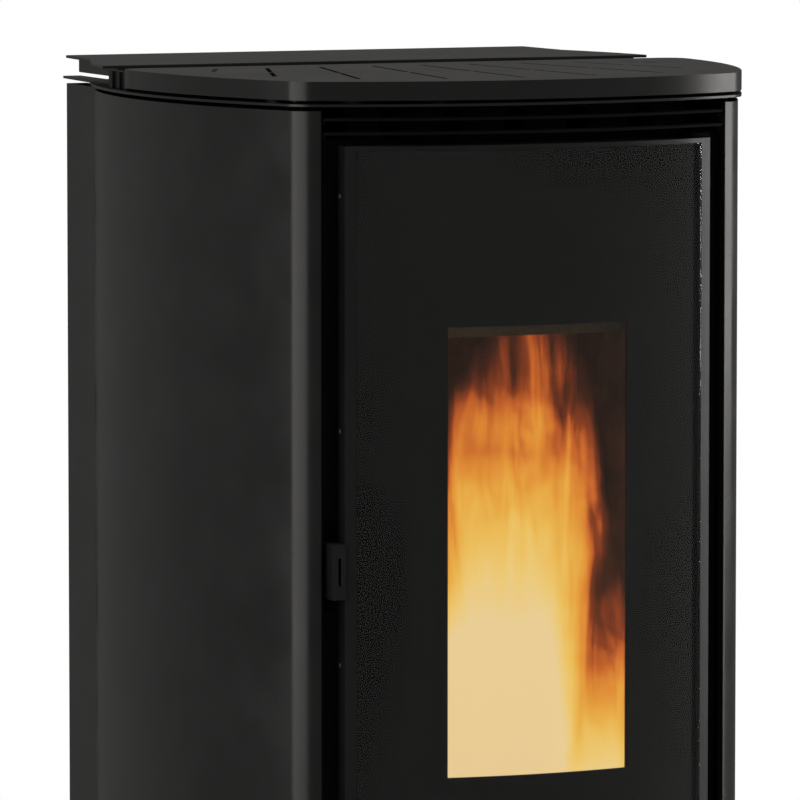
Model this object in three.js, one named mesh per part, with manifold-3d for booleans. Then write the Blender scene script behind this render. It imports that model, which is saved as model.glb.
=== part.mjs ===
// A free-standing pellet stove: curved steel side panels and top, a tall curved glass door,
// a slotted top cover, a pellet hopper behind it under a hinged lid, and the works inside.
// Millimetres. +Z up, the front faces -Y, the origin is on the floor under the middle of the stove.
import * as THREE from 'three';
import { mergeVertices } from 'three/addons/utils/BufferGeometryUtils.js';
import Module from 'manifold-3d';

const wasm = await Module();
wasm.setup();

// ---------------------------------------------------------------- driving dimensions

const WIDTH = 516;
const DEPTH = 552;
const HEIGHT = 1060;
const GAP = 0.3;                 // between pieces that touch
const SHEET = 2;                 // casing sheet
const CUT = 1;                   // how far a cutter runs on past a face
const BITE = 1;                  // how far the welded parts of one piece run into each other

const HALF = WIDTH / 2;
const FRONT_Y = -DEPTH / 2;
const BACK_Y = DEPTH / 2;
const SETBACK = 108;             // from the widest line of the casing in to the firebox and the feet

const FRONT_RISE = 81.3;         // how far the bowed front stands out over the stove's width
const SIDE_RISE = 84.5;          // how far each bowed side stands out over the stove's depth
const FRONT_RADIUS = arcRadius(HALF, FRONT_RISE);
const SIDE_RADIUS = arcRadius(BACK_Y, SIDE_RISE);
const CORNER_RADIUS = 40;
const CREST_Y = 7;               // where the sides are widest
const FRONT_STEPS = 10;
const CORNER_STEPS = 4;
const SIDE_STEPS = 16;

const REAR = { frontY: BACK_Y - 72.7, lap: 2.7 };
const PANEL = { inset: 3, topDrop: 5.5, backY: REAR.frontY - 45.3, lip: 14, doorGap: 17.2 };
const STRIP = { x: sideX(PANEL.backY, PANEL.inset) - 11.8, backY: BACK_Y - 18, width: 19 };
const STRIP_INNER = STRIP.x - STRIP.width;
const REAR_HALF = STRIP_INNER + REAR.lap;

const FOOT = { radius: 25, pad: 10, stem: 6, top: 45, spreadX: HALF - SETBACK, spreadY: BACK_Y - 126,
  height: 22 };
const BASE = { thick: 3, back: REAR.frontY - GAP, inset: 3, shoulderY: PANEL.backY, shoulderX: STRIP.x };
const BASE_TOP = FOOT.height + BASE.thick;

const PLATE = { thick: 2.2, drop: 18.4, shoulderY: BACK_Y - 106, recessY: REAR.frontY + 7.2, wing: 20,
  step: 10.3,
  flare: 3, flareY: 8, wingTaper: 4 };
const WING_OUT = sideX(PLATE.shoulderY, 0) - PLATE.step;
const WING_IN = WING_OUT - PLATE.wing;
const PLATE_TOP = HEIGHT - PLATE.drop;
const PLATE_BOTTOM = PLATE_TOP - PLATE.thick;
// The hot-air opening in the top plate.
const VENT = { halfX: HALF - SETBACK, frontY: FRONT_Y + 86, backY: -20 };

const COVER = { bottomGap: 2.9, wall: 3, backY: 25.5, backRadius: 18, bossRadius: 7, bossInset: 73,
  bossBackInset: 33 };
const SLOT = { width: 4, backY: COVER.backY - 39.5, fanY: 394, bridge: 7 };
const SLOTS = [                                             // half-width at the back, front end
  { x: 0, frontY: FRONT_Y + 42 },
  { x: 44, frontY: FRONT_Y + 47 },
  { x: 92, frontY: FRONT_Y + 68 },
  { x: 140, frontY: FRONT_Y + 133 },
  { x: 186, frontY: FRONT_Y + 226 },
];

const PANEL_BOTTOM = BASE_TOP + GAP;
const PANEL_TOP = PLATE_TOP - PANEL.topDrop;

const DOOR = { halfX: HALF - 94.7, inset: 2, topDrop: 34.3, bottom: 347.6, skin: 2.5, land: 22,
  landInset: 23.3 };
const DOOR_TOP = PLATE_TOP - DOOR.topDrop;
const PANEL_FRONT_X = DOOR.halfX + PANEL.doorGap;

// The front frame stands behind the door's side edges, where the bowed door is furthest back.
const FRAME = { frontY: frontY(DOOR.halfX, DOOR.inset) + 21.18, thick: 3, top: PLATE_TOP - 29.6, cheek: 10 };
const CHASSIS = { x: REAR_HALF - 15, backY: REAR.frontY - GAP, flange: 16, toeSetback: 24 };
const FRAME_HALF = CHASSIS.x - GAP;
const FRAME_BACK = FRAME.frontY + FRAME.thick;
const CHEEK_X = PANEL_FRONT_X - SHEET - GAP;

const GLASS = { halfX: DOOR.halfX - 9.3, thick: 5, rimZ: 4 };
const WINDOW = { halfX: 80, bottom: 488.5, top: DOOR_TOP - 148.3 };
const GASKET = { thick: 7, outX: DOOR.halfX - 12.3, width: 10, margin: 11.5 };
const DOOR_BACK = FRAME.frontY - GASKET.thick;
const GASKET_IN = GASKET.outX - GASKET.width;
const HINGE = { x: DOOR.halfX - 8.3, y: FRAME.frontY - 15, pin: 3, bore: 3.3, depth: 12.5, endGap: 1,
  leafX: 8,
  leafFront: 7, thick: 3.4 };

// The latch stands just outside the door's edge, with its tail through a port in the front frame.
const LATCH = { z: PLATE_TOP - 381.1, y: FRAME.frontY - 14, inX: DOOR.halfX + 0.7, width: 11.5, front: 11,
  back: 9,
  halfZ: 22.7, pin: 3, pinDepth: 14 };
const LATCH_OUT = LATCH.inX + LATCH.width;
const LATCH_PIN_END = LATCH.inX - LATCH.pinDepth;
const LATCH_SLOT = { inX: LATCH.inX + 4, width: 2.6, halfZ: 11.5, depth: 9 };
const LATCH_TAIL = { inX: LATCH.inX + 3, width: 6, backY: FRAME_BACK + 14, halfZ: 4 };
const LATCH_PORT = { outX: LATCH_OUT + 2.5, inX: LATCH.inX - 0.6, bottom: LATCH.z - 35.5,
  top: LATCH.z + 39.5 };
const KEEPER = { armOut: LATCH.inX - 1, armWidth: 11, padOut: LATCH_OUT + 0.5, padY: FRAME_BACK + 7,
  backY: FRAME_BACK + 13, height: 11 };

const EXCHANGER = { wall: 3, tubeDrop: 16.8, tubeRadius: 14, tubeWall: 1.5, count: 5, margin: 10,
  plateGap: 0.6 };
const EXCHANGER_TOP = PLATE_BOTTOM - EXCHANGER.plateGap;
const EXCHANGER_HEIGHT = 103.5;
const FIREBOX = { halfX: HALF - SETBACK, backY: 0, bottom: 345, top: EXCHANGER_TOP - EXCHANGER_HEIGHT - GAP,
  wall: 4 };
const FIRE_MOUTH = { halfX: FIREBOX.halfX - 20, bottom: 385, top: FIREBOX.top - 35 };
const ASH_MOUTH = { halfX: FIREBOX.halfX - 40, frontY: FRAME_BACK + 19, backY: FIREBOX.backY - 20 };
const FLUE_MOUTH = { halfX: FIREBOX.halfX - 20, frontY: FIREBOX.backY - 50, backY: FIREBOX.backY - 20 };
const LEDGE = { width: 8, thick: 6 };
const SLAT = { thick: 2.2, inset: 3, boxGap: 1.74, firstDrop: 11.6, pitch: 11.5, tab: 6, count: 2 };
const SLAT_BACK_RADIUS = Math.hypot(FRONT_Y + FRONT_RADIUS - FRAME_BACK - GAP + SLAT.boxGap, FIREBOX.halfX);
const BAFFLE = { thick: 8.3, endGap: 1, frontY: FRAME_BACK + 24, backY: FIREBOX.backY - 60,
  bottom: FIREBOX.top - 90.8 };
const BAFFLE_HALF = FIREBOX.halfX - FIREBOX.wall - BAFFLE.endGap;
const BRICK = { thick: 10, top: BAFFLE.bottom - 6.2 };
const BRICK_HALF = FIREBOX.halfX - FIREBOX.wall - GAP;
const BRICK_BACK = FIREBOX.backY - FIREBOX.wall - GAP;
const SHELF = { z: 446, thick: 4, frontY: FRAME_BACK + 5, slotGap: 16, slot: 48 };
const POT = { halfX: 50, frontY: -150, backY: -52, wall: 5, under: 24, over: 55, rim: 8, rimThick: 3, hole: 4,
  clear: 1 };
const IGNITER = { radius: 5, z: 470, frontY: -40, backY: 60 };
const CHUTE = { halfX: 30, wall: 2, bottom: 604, top: 676 };

const ASH_BOX = { halfX: FIREBOX.halfX - 24, bottom: 236, backY: FIREBOX.backY - 5 };
const DRAWER = { bottom: 225, gap: 4, halfX: ASH_BOX.halfX - 6, boxTop: 330, boxBack: ASH_BOX.backY - 5,
  wall: 1.6,
  skin: 3, gripX: 60, gripZ: 12 };
const DRAWER_TOP = DOOR.bottom - DRAWER.gap;
const DRAWER_FLOOR = ASH_BOX.bottom + SHEET + GAP;
const LOWER = { bottom: BASE_TOP + 1, top: DRAWER.bottom - DRAWER.gap };

const ROOM_FAN = { outX: 6 - CHASSIS.x, inX: 40, frontY: 4, backY: FOOT.spreadY - 8, top: 171.7, wall: 2,
  axisZ: 98,
  lip: 12, sill: 16 };
const ROOM_FAN_AXIS_Y = ROOM_FAN.backY - 52;
const ROTOR = { radius: 42, disc: 3, blades: 14, blade: 3, bladeLength: 12, shaft: 4, endGap: 6 };
const ROOM_MOTOR = { radius: 32, length: 55 };
const INTAKE = { x: -70, halfX: 95, z: 98, halfZ: 45, bars: 7, bar: 6 };
const DUCT = { outX: FIREBOX.halfX - 4, width: 80, backY: 54, bottom: ROOM_FAN.top + GAP,
  plenumBottom: FIREBOX.top + 5 };
const DUCT_IN = DUCT.outX - DUCT.width;

const AUGER = { bottomY: REAR.frontY - 75.3, bottomZ: 582, topY: 28, topZ: 715, radius: 25, bore: 21,
  plate: 3 };
const AUGER_LENGTH = Math.hypot(AUGER.topY - AUGER.bottomY, AUGER.topZ - AUGER.bottomZ);
const AUGER_INLET = { from: 30, to: 90, halfX: 28, boreX: 22, height: 40 };
const AUGER_OUTLET = { from: AUGER_LENGTH - 38.4, halfX: 20 };
const SCREW = { shaft: 6, flight: 20.4, thick: 2.5, pitch: 30, from: 6, to: AUGER_LENGTH - 10.4, stub: 12,
  tip: 1 };
const GEARMOTOR = { halfX: 34, halfN: 29, gearbox: 26, motorRadius: 24, length: 58, endGap: 1 };

const LID = { frontY: COVER.backY + 53, backY: BACK_Y - 9.5, sheet: 2.5, flangeThick: 2 };
const HOPPER = { halfX: CHASSIS.x - 0.5, frontY: LID.frontY + 5.5, backY: REAR.frontY - 3.3, wall: 1.6,
  rimTop: HEIGHT - 6, taperTop: HEIGHT - 160, taperBottom: 700, neckHalfX: 28, neckFrontY: AUGER.bottomY - 24,
  neckBackY: AUGER.bottomY + 16, neckBottom: 590, flange: 5.5 };
const GRATE = { z: HEIGHT - 42, thick: 4, bar: 5, columns: 8, rows: 2, margin: 1.9 };

const CONSOLE = { halfX: sideX(COVER.backY, 0) - 9.7, frontY: COVER.backY + 0.5, backY: LID.frontY - 1.5,
  height: 8.4,
  endTop: HEIGHT - 3.5, endWidth: 6, rib: 3, ribCount: 3 };
const BUTTON = { radius: 5.5, x: 30, count: 3, height: 5, proud: 1.5, travel: 1.2, y: CONSOLE.frontY + 26 };

const LID_PLAN = { shoulderY: HOPPER.backY - 8, step: 4, sideX: WING_OUT + 2, backX: WING_OUT - 3 };
const LID_FLANGE = { frontX: CONSOLE.halfX - 8, x: WING_OUT - 7, bottom: HEIGHT - 13.9,
  backY: BACK_Y - 31 };
const LID_HINGE = { x: HALF - SETBACK, y: BACK_Y - 16, z: HEIGHT - 10, pin: 2.5, bore: 2.8, knuckle: 4,
  knuckleRadius: 5, armThick: 8,
  armTop: HEIGHT - 8, armEnd: BACK_Y - 11, legBottom: HEIGHT - 60, legBackY: REAR.frontY + 12.7,
    kneeY: BACK_Y - 36,
  pinLength: 24 };

const SMOKE_FAN = { x: 95, z: 410, radius: 52, depth: 44.7, wall: 2, eye: 25, outletHalfX: 42,
  outletBottom: 250 };
const IMPELLER = { radius: 44, disc: 3, hub: 9, shaft: 4, bladeDepth: 24, blades: 9, blade: 2.5, inner: 22,
  frontY: 8 };
const SMOKE_MOTOR = { radius: 30, length: 60 };
const FLUE = { radius: 40, wall: 1.6, z: 295, backY: BACK_Y - 14, collar: 4, collarLength: 12 };
const AIR_INLET = { radius: 23, wall: 1.5, x: 26 - DUCT_IN, z: 400, backY: BACK_Y - 36 };

const BOARD = { thick: 3, frontY: 20, backY: 160, bottom: 200, top: 380, part: 7 };
const INLET = { x: CHASSIS.x - 53, z: 95, halfX: 34, halfZ: 34, flange: 2.4, depth: 26, socketX: -14,
  socketHalfX: 13.5, socketHalfZ: 10, socketDepth: 16, pin: 1.6, pinPitch: 7, pinLength: 7.5, lip: 3 };
const ROCKER = { x: 17, halfX: 7, z: 12, reach: 7.5, back: 3, front: 3.2, edge: 2, tilt: 10, clear: 1.1 };
const RESET = { radius: 4, x: 17, z: -16, proud: 2.5, length: 14 };

// The radius of an arc that stands out by rise over half its chord.
function arcRadius(halfChord, rise) {
  return (halfChord ** 2 + rise ** 2) / (2 * rise);
}

// Where the bowed front is at x, an inset in from it.
function frontY(x, inset) {
  return FRONT_Y + FRONT_RADIUS - Math.sqrt((FRONT_RADIUS - inset) ** 2 - x ** 2);
}

// Where the casing's bowed side is at y, an inset in from it.
function sideX(y, inset) {
  return HALF - SIDE_RADIUS + Math.sqrt((SIDE_RADIUS - inset) ** 2 - (y - CREST_Y) ** 2);
}

// ---------------------------------------------------------------- finishes

function finish(color, roughness, metalness) {
  return new THREE.MeshStandardMaterial({ color, roughness, metalness });
}

const BLACK_STEEL = finish(0x2c2a29, 0.42, 0.35);
const BLACK_TRIM = finish(0x151515, 0.6, 0.2);
const CAST_IRON = finish(0x2a2827, 0.75, 0.5);
const BARE_STEEL = finish(0x8d9093, 0.4, 0.9);
const GALVANISED = finish(0x9a9da0, 0.5, 0.8);
const BLACK_GLASS = finish(0x141414, 0.08, 0.0);
const VERMICULITE = finish(0xa08a63, 0.95, 0.0);
const ROPE = finish(0x55524d, 1.0, 0.0);
const BLACK_PLASTIC = finish(0x1c1c1d, 0.5, 0.0);
const GREY_PLASTIC = finish(0x6d7073, 0.5, 0.0);
const BOARD_GREEN = finish(0x1f5a36, 0.6, 0.1);

const stove = new THREE.Group();

// ---------------------------------------------------------------- solids

function solid(geometry) {
  geometry.deleteAttribute('normal');
  geometry.deleteAttribute('uv');
  const merged = mergeVertices(geometry, 1e-4);
  return new wasm.Manifold(new wasm.Mesh({
    numProp: 3,
    vertProperties: new Float32Array(merged.attributes.position.array),
    triVerts: new Uint32Array(merged.index.array),
  }));
}

function geometryOf(body) {
  const mesh = body.getMesh();
  const geometry = new THREE.BufferGeometry();
  geometry.setAttribute('position', new THREE.BufferAttribute(new Float32Array(mesh.vertProperties), 3));
  geometry.setIndex(new THREE.BufferAttribute(new Uint32Array(mesh.triVerts), 1));
  geometry.computeVertexNormals();
  return geometry;
}

function addPiece(name, body, material, parent = stove) {
  const mesh = new THREE.Mesh(geometryOf(body), material);
  mesh.name = name;
  parent.add(mesh);
  return mesh;
}

function block(x0, x1, y0, y1, z0, z1) {
  const geometry = new THREE.BoxGeometry(Math.abs(x1 - x0), Math.abs(y1 - y0), Math.abs(z1 - z0));
  geometry.translate((x0 + x1) / 2, (y0 + y1) / 2, (z0 + z1) / 2);
  return solid(geometry);
}

// A round bar between two points.
function rod(radius, from, to, sides = 20) {
  const start = new THREE.Vector3(...from);
  const end = new THREE.Vector3(...to);
  const axis = end.clone().sub(start);
  const geometry = new THREE.CylinderGeometry(radius, radius, axis.length(), sides);
  const turn = new THREE.Quaternion().setFromUnitVectors(new THREE.Vector3(0, 1, 0),
    axis.clone().normalize());
  geometry.applyQuaternion(turn);
  geometry.translate(...start.add(end).multiplyScalar(0.5).toArray());
  return solid(geometry);
}

function tube(radius, bore, from, to, sides = 20) {
  const past = new THREE.Vector3(...to).sub(new THREE.Vector3(...from)).normalize();
  const start = new THREE.Vector3(...from).sub(past).toArray();
  const end = new THREE.Vector3(...to).add(past).toArray();
  return rod(radius, from, to, sides).subtract(rod(bore, start, end, sides));
}

function extruded(points, length, basis) {
  const shape = new THREE.Shape(points.map(([u, v]) => new THREE.Vector2(u, v)));
  const geometry = new THREE.ExtrudeGeometry(shape, { depth: length, bevelEnabled: false });
  geometry.applyMatrix4(basis);
  return solid(geometry);
}

// An outline in plan, between two heights.
function prismZ(points, z0, z1) {
  return extruded(points, z1 - z0, new THREE.Matrix4().makeTranslation(0, 0, z0));
}

// An outline of [y, z] points, between two values of x.
function prismX(points, x0, x1) {
  const basis = new THREE.Matrix4().makeBasis(
    new THREE.Vector3(0, 1, 0), new THREE.Vector3(0, 0, 1), new THREE.Vector3(1, 0, 0));
  basis.setPosition(x0, 0, 0);
  return extruded(points, x1 - x0, basis);
}

// A four-sided funnel solid from a lower rectangle to an upper one, each {x, y0, y1, z}.
function funnel(low, high) {
  const corners = [low, high].flatMap((r) => [
    [-r.x, r.y0, r.z], [r.x, r.y0, r.z], [r.x, r.y1, r.z], [-r.x, r.y1, r.z],
  ]);
  const faces = [[0, 2, 1], [0, 3, 2], [4, 5, 6], [4, 6, 7]];
  for (let i = 0; i < 4; i += 1) {
    const j = (i + 1) % 4;
    faces.push([i, j, j + 4], [i, j + 4, i + 4]);
  }
  const geometry = new THREE.BufferGeometry();
  geometry.setAttribute('position', new THREE.Float32BufferAttribute(corners.flat(), 3));
  geometry.setIndex(faces.flat());
  return solid(geometry);
}

function mirrored(points) {
  return points.map(([x, y]) => [-x, y]).reverse();
}

function union(bodies) {
  return bodies.reduce((sum, body) => sum.add(body));
}

// ---------------------------------------------------------------- the plan outline

const FRONT_CENTRE = [0, FRONT_Y + FRONT_RADIUS];
const SIDE_CENTRE = [WIDTH / 2 - SIDE_RADIUS, CREST_Y];

// The corner's centre lies inside both arcs by the corner radius.
function cornerCentre() {
  const a = FRONT_RADIUS - CORNER_RADIUS;
  const b = SIDE_RADIUS - CORNER_RADIUS;
  const dx = SIDE_CENTRE[0] - FRONT_CENTRE[0];
  const dy = SIDE_CENTRE[1] - FRONT_CENTRE[1];
  const apart = Math.hypot(dx, dy);
  const along = (a * a - b * b + apart * apart) / (2 * apart);
  const across = Math.sqrt(a * a - along * along);
  return [
    FRONT_CENTRE[0] + (along * dx - across * dy) / apart,
    FRONT_CENTRE[1] + (along * dy + across * dx) / apart,
  ];
}

const CORNER_CENTRE = cornerCentre();

// Angles are measured from straight ahead (-Y) round to the right.
function angleOf(centre, [x, y]) {
  return Math.atan2(x - centre[0], centre[1] - y);
}

const CORNER_START = angleOf(FRONT_CENTRE, CORNER_CENTRE);
const CORNER_END = angleOf(SIDE_CENTRE, CORNER_CENTRE);
const SIDE_END = Math.PI / 2 + Math.asin((PLATE.shoulderY - CREST_Y) / SIDE_RADIUS);

function outlinePoint(angle, inset) {
  let centre = SIDE_CENTRE;
  let radius = SIDE_RADIUS;
  if (angle <= CORNER_START) {
    centre = FRONT_CENTRE;
    radius = FRONT_RADIUS;
  } else if (angle < CORNER_END) {
    centre = CORNER_CENTRE;
    radius = CORNER_RADIUS;
  }
  return [centre[0] + (radius - inset) * Math.sin(angle), centre[1] - (radius - inset) * Math.cos(angle)];
}

// Every outline turns at the same angles, so that nested sheets stay parallel.
function stations() {
  const list = [];
  for (let i = 0; i <= FRONT_STEPS; i += 1) {
    list.push((CORNER_START * i) / FRONT_STEPS);
  }
  for (let i = 1; i <= CORNER_STEPS; i += 1) {
    list.push(CORNER_START + ((CORNER_END - CORNER_START) * i) / CORNER_STEPS);
  }
  for (let i = 1; i <= SIDE_STEPS; i += 1) {
    list.push(CORNER_END + ((SIDE_END - CORNER_END) * i) / SIDE_STEPS);
  }
  return list;
}

const STATIONS = stations();
const MERGE_ANGLE = 0.004;

// The right half of the outline between two angles, from front to back.
function arcPath(inset, from, to) {
  const between = STATIONS.filter((angle) => angle > from + MERGE_ANGLE && angle < to - MERGE_ANGLE);
  return [from, ...between, to].map((angle) => outlinePoint(angle, inset));
}

// The angle where the front or its right corner is at x.
function frontAngle(x, inset) {
  const angle = Math.asin(x / (FRONT_RADIUS - inset));
  return angle <= CORNER_START ? angle : Math.asin((x - CORNER_CENTRE[0]) / (CORNER_RADIUS - inset));
}

function sideAngle(y, inset) {
  return Math.PI / 2 + Math.asin((y - CREST_Y) / (SIDE_RADIUS - inset));
}

// A whole outline, left and right, from the front to backY.
function wholeOutline(inset, backY, tail = []) {
  const half = [...arcPath(inset, 0, sideAngle(backY, inset)), ...tail];
  return [...half, ...mirrored(half.slice(1))];
}

// The right half of the bowed front alone, carried straight on past the corner as far as halfX.
function frontPath(inset, halfX) {
  const radius = FRONT_RADIUS - inset;
  const end = Math.asin(halfX / radius);
  const between = STATIONS.filter((angle) => angle < Math.min(end, CORNER_START) - MERGE_ANGLE);
  return [...between, end].map((angle) => [radius * Math.sin(angle),
    FRONT_CENTRE[1] - radius * Math.cos(angle)]);
}

// The band between two insets of the bowed front, within halfX.
function frontBand(outer, inner, halfX) {
  const near = frontPath(outer, halfX);
  const far = frontPath(inner, halfX);
  const right = [...near, ...far.slice().reverse()];
  const left = [...far.slice(1), ...near.slice(1).reverse()].map(([x, y]) => [-x, y]);
  return [...right, ...left];
}

// A block with a bowed front face and a flat back.
function bowedBlock(inset, halfX, backY, z0, z1) {
  const right = [...frontPath(inset, halfX), [halfX, backY]];
  return prismZ([...right, ...mirrored(right.slice(1))], z0, z1);
}

// ---------------------------------------------------------------- base, feet and chassis

function basePlate() {
  const tail = [[BASE.shoulderX, BASE.shoulderY], [BASE.shoulderX, BASE.back]];
  let body = prismZ(wholeOutline(BASE.inset, BASE.shoulderY, tail), FOOT.height, BASE_TOP);
  for (const [x, y] of footPlaces()) {
    body = body.subtract(rod(FOOT.stem + GAP, [x, y, 0], [x, y, FOOT.top]));
  }
  return body;
}

function footPlaces() {
  const { spreadX, spreadY } = FOOT;
  return [[-spreadX, -spreadY], [spreadX, -spreadY], [-spreadX, spreadY], [spreadX, spreadY]];
}

function foot(x, y) {
  const pad = rod(FOOT.radius, [x, y, 0], [x, y, FOOT.pad]);
  const stem = rod(FOOT.stem, [x, y, FOOT.pad / 2], [x, y, FOOT.top]);
  const shoulder = rod(FOOT.stem * 2, [x, y, FOOT.pad / 2], [x, y, FOOT.height - GAP]);
  return union([pad, stem, shoulder]);
}

function chassisSide(side) {
  const top = PLATE_BOTTOM - GAP;
  const bottom = BASE_TOP + GAP;
  const wall = block(CHASSIS.x, CHASSIS.x + SHEET, FRAME_BACK + GAP, CHASSIS.backY, bottom, top);
  const head = block(CHASSIS.x, CHASSIS.x + CHASSIS.flange, HOPPER.frontY, CHASSIS.backY, top - SHEET, top);
  const toeY = FRAME_BACK + CHASSIS.toeSetback;
  const toe = block(CHASSIS.x, CHASSIS.x + CHASSIS.flange, toeY, CHASSIS.backY, bottom, bottom + SHEET);
  const body = union([wall, head, toe]);
  return side > 0 ? body : body.mirror([1, 0, 0]);
}

function frontFrame() {
  const plate = block(-FRAME_HALF, FRAME_HALF, FRAME.frontY, FRAME_BACK, BASE_TOP + GAP, FRAME.top);
  const cheek = (x0, x1) => block(x0, x1, FRAME.frontY - FRAME.cheek, FRAME_BACK, BASE_TOP + GAP, PANEL_TOP);
  const right = cheek(CHEEK_X, CHEEK_X + SHEET);
  const left = cheek(-CHEEK_X - SHEET, -CHEEK_X);
  const past = FRAME.thick;
  const mouth = block(-FIRE_MOUTH.halfX, FIRE_MOUTH.halfX, FRAME.frontY - past, FRAME_BACK + past,
    FIRE_MOUTH.bottom, FIRE_MOUTH.top);
  const drawerMouth = block(-ASH_BOX.halfX + SHEET, ASH_BOX.halfX - SHEET, FRAME.frontY - past,
    FRAME_BACK + past,
    ASH_BOX.bottom + GAP, DRAWER.boxTop + DRAWER.gap);
  const port = block(-LATCH_PORT.outX, -LATCH_PORT.inX, FRAME.frontY - past, FRAME_BACK + past,
    LATCH_PORT.bottom, LATCH_PORT.top);
  return union([plate, right, left, latchKeeper()]).subtract(mouth).subtract(drawerMouth).subtract(port);
}

// The keeper's arm is welded to the back of the front frame, beside the latch's port.
function latchKeeper() {
  const top = LATCH.z - LATCH_TAIL.halfZ - GAP;
  const bottom = top - KEEPER.height;
  const inner = KEEPER.armWidth - KEEPER.armOut;
  const arm = block(-KEEPER.armOut, inner, FRAME_BACK - BITE, KEEPER.backY, bottom, top);
  const pad = block(-KEEPER.padOut, inner, KEEPER.padY, KEEPER.backY, bottom, top);
  return arm.add(pad);
}

function rearPanel() {
  const y0 = REAR.frontY;
  const y1 = REAR.frontY + SHEET;
  let body = block(-REAR_HALF, REAR_HALF, y0, y1, BASE_TOP + GAP, PLATE_BOTTOM - GAP);
  const through = (radius, x, z) => rod(radius, [x, y0 - SHEET, z], [x, y1 + SHEET, z], 28);
  body = body.subtract(through(FLUE.radius + GAP, SMOKE_FAN.x, FLUE.z));
  body = body.subtract(through(AIR_INLET.radius + GAP, AIR_INLET.x, AIR_INLET.z));
  const cutX = INLET.halfX - INLET.lip;
  const cutZ = INLET.halfZ - INLET.lip;
  body = body.subtract(block(INLET.x - cutX, INLET.x + cutX, y0 - SHEET, y1 + SHEET, INLET.z - cutZ,
    INLET.z + cutZ));
  const pitch = (2 * INTAKE.halfX) / INTAKE.bars;
  for (let i = 0; i < INTAKE.bars; i += 1) {
    const x = INTAKE.x - INTAKE.halfX + pitch * i;
    body = body.subtract(block(x + INTAKE.bar, x + pitch, y0 - SHEET, y1 + SHEET,
      INTAKE.z - INTAKE.halfZ, INTAKE.z + INTAKE.halfZ));
  }
  return body;
}

// ---------------------------------------------------------------- casing

function sidePanel(side) {
  const outer = PANEL.inset;
  const inner = PANEL.inset + SHEET;
  const hem = FRAME.frontY - GAP;
  const outerPath = arcPath(outer, frontAngle(PANEL_FRONT_X, outer), sideAngle(PANEL.backY, outer));
  const innerPath = arcPath(inner, frontAngle(PANEL_FRONT_X + SHEET, inner),
    sideAngle(PANEL.backY - SHEET, inner));
  const backX = outerPath.at(-1)[0] - PANEL.lip;
  const loop = [
    [PANEL_FRONT_X, hem],
    ...outerPath,
    [backX, PANEL.backY],
    [backX, PANEL.backY - SHEET],
    ...innerPath.reverse(),
    [PANEL_FRONT_X + SHEET, hem],
  ];
  return prismZ(side > 0 ? loop : mirrored(loop), PANEL_BOTTOM, PANEL_TOP);
}

function rearStrip(side) {
  const frontY = PANEL.backY + GAP;
  const seatY = REAR.frontY + SHEET + GAP;
  const loop = [
    [STRIP.x, frontY],
    [STRIP.x, STRIP.backY],
    [STRIP_INNER, STRIP.backY],
    [STRIP_INNER, seatY],
    [STRIP_INNER + SHEET, seatY],
    [STRIP_INNER + SHEET, STRIP.backY - SHEET],
    [STRIP.x - SHEET, STRIP.backY - SHEET],
    [STRIP.x - SHEET, frontY],
  ];
  return prismZ(side > 0 ? loop : mirrored(loop), PANEL_BOTTOM, PANEL_TOP);
}

function topPlate() {
  const tail = [
    [WING_OUT + PLATE.flare, PLATE.shoulderY + PLATE.flareY],
    [WING_OUT, PLATE.recessY],
    [WING_OUT - PLATE.wingTaper, BACK_Y],
    [WING_IN, BACK_Y],
    [WING_IN, PLATE.recessY],
  ];
  const z0 = PLATE_BOTTOM;
  const z1 = PLATE_TOP;
  const past = PLATE.thick;
  const vent = block(-VENT.halfX, VENT.halfX, VENT.frontY, VENT.backY, z0 - past, z1 + past);
  const mouth = block(-HOPPER.halfX - GAP, HOPPER.halfX + GAP, HOPPER.frontY - GAP, HOPPER.backY + GAP,
    z0 - past, z1 + past);
  return prismZ(wholeOutline(0, PLATE.shoulderY, tail), z0, z1).subtract(vent).subtract(mouth);
}

// The cover's outline, with its two back corners rounded.
function coverOutline(inset) {
  const radius = COVER.backRadius - inset;
  const backY = COVER.backY - inset;
  const edgeX = outlinePoint(sideAngle(backY - radius, inset), inset)[0];
  const half = arcPath(inset, 0, sideAngle(backY - radius, inset));
  const turns = 4;
  for (let i = 1; i <= turns; i += 1) {
    const turn = (Math.PI / 2) * (i / turns);
    half.push([edgeX - radius * (1 - Math.cos(turn)), backY - radius * (1 - Math.sin(turn))]);
  }
  return [...half, ...mirrored(half.slice(1))];
}

// A slot is cut in two lengths along a ray of the fan, with a bridge left between them.
function slotCutters({ x, frontY }, side) {
  const fanLength = SLOT.fanY - SLOT.backY;
  const lean = Math.atan2(x * side, fanLength);
  const from = fanLength / Math.cos(lean);
  const to = (SLOT.fanY - frontY) / Math.cos(lean);
  const middle = (from + to) / 2;
  const piece = (near, far) => {
    const bar = new THREE.BoxGeometry(SLOT.width, far - near, COVER.wall * 4);
    bar.translate(0, -(near + far) / 2, 0);
    bar.rotateZ(lean);
    bar.translate(0, SLOT.fanY, HEIGHT);
    return solid(bar);
  };
  return [piece(from, middle - SLOT.bridge / 2), piece(middle + SLOT.bridge / 2, to)];
}

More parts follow.
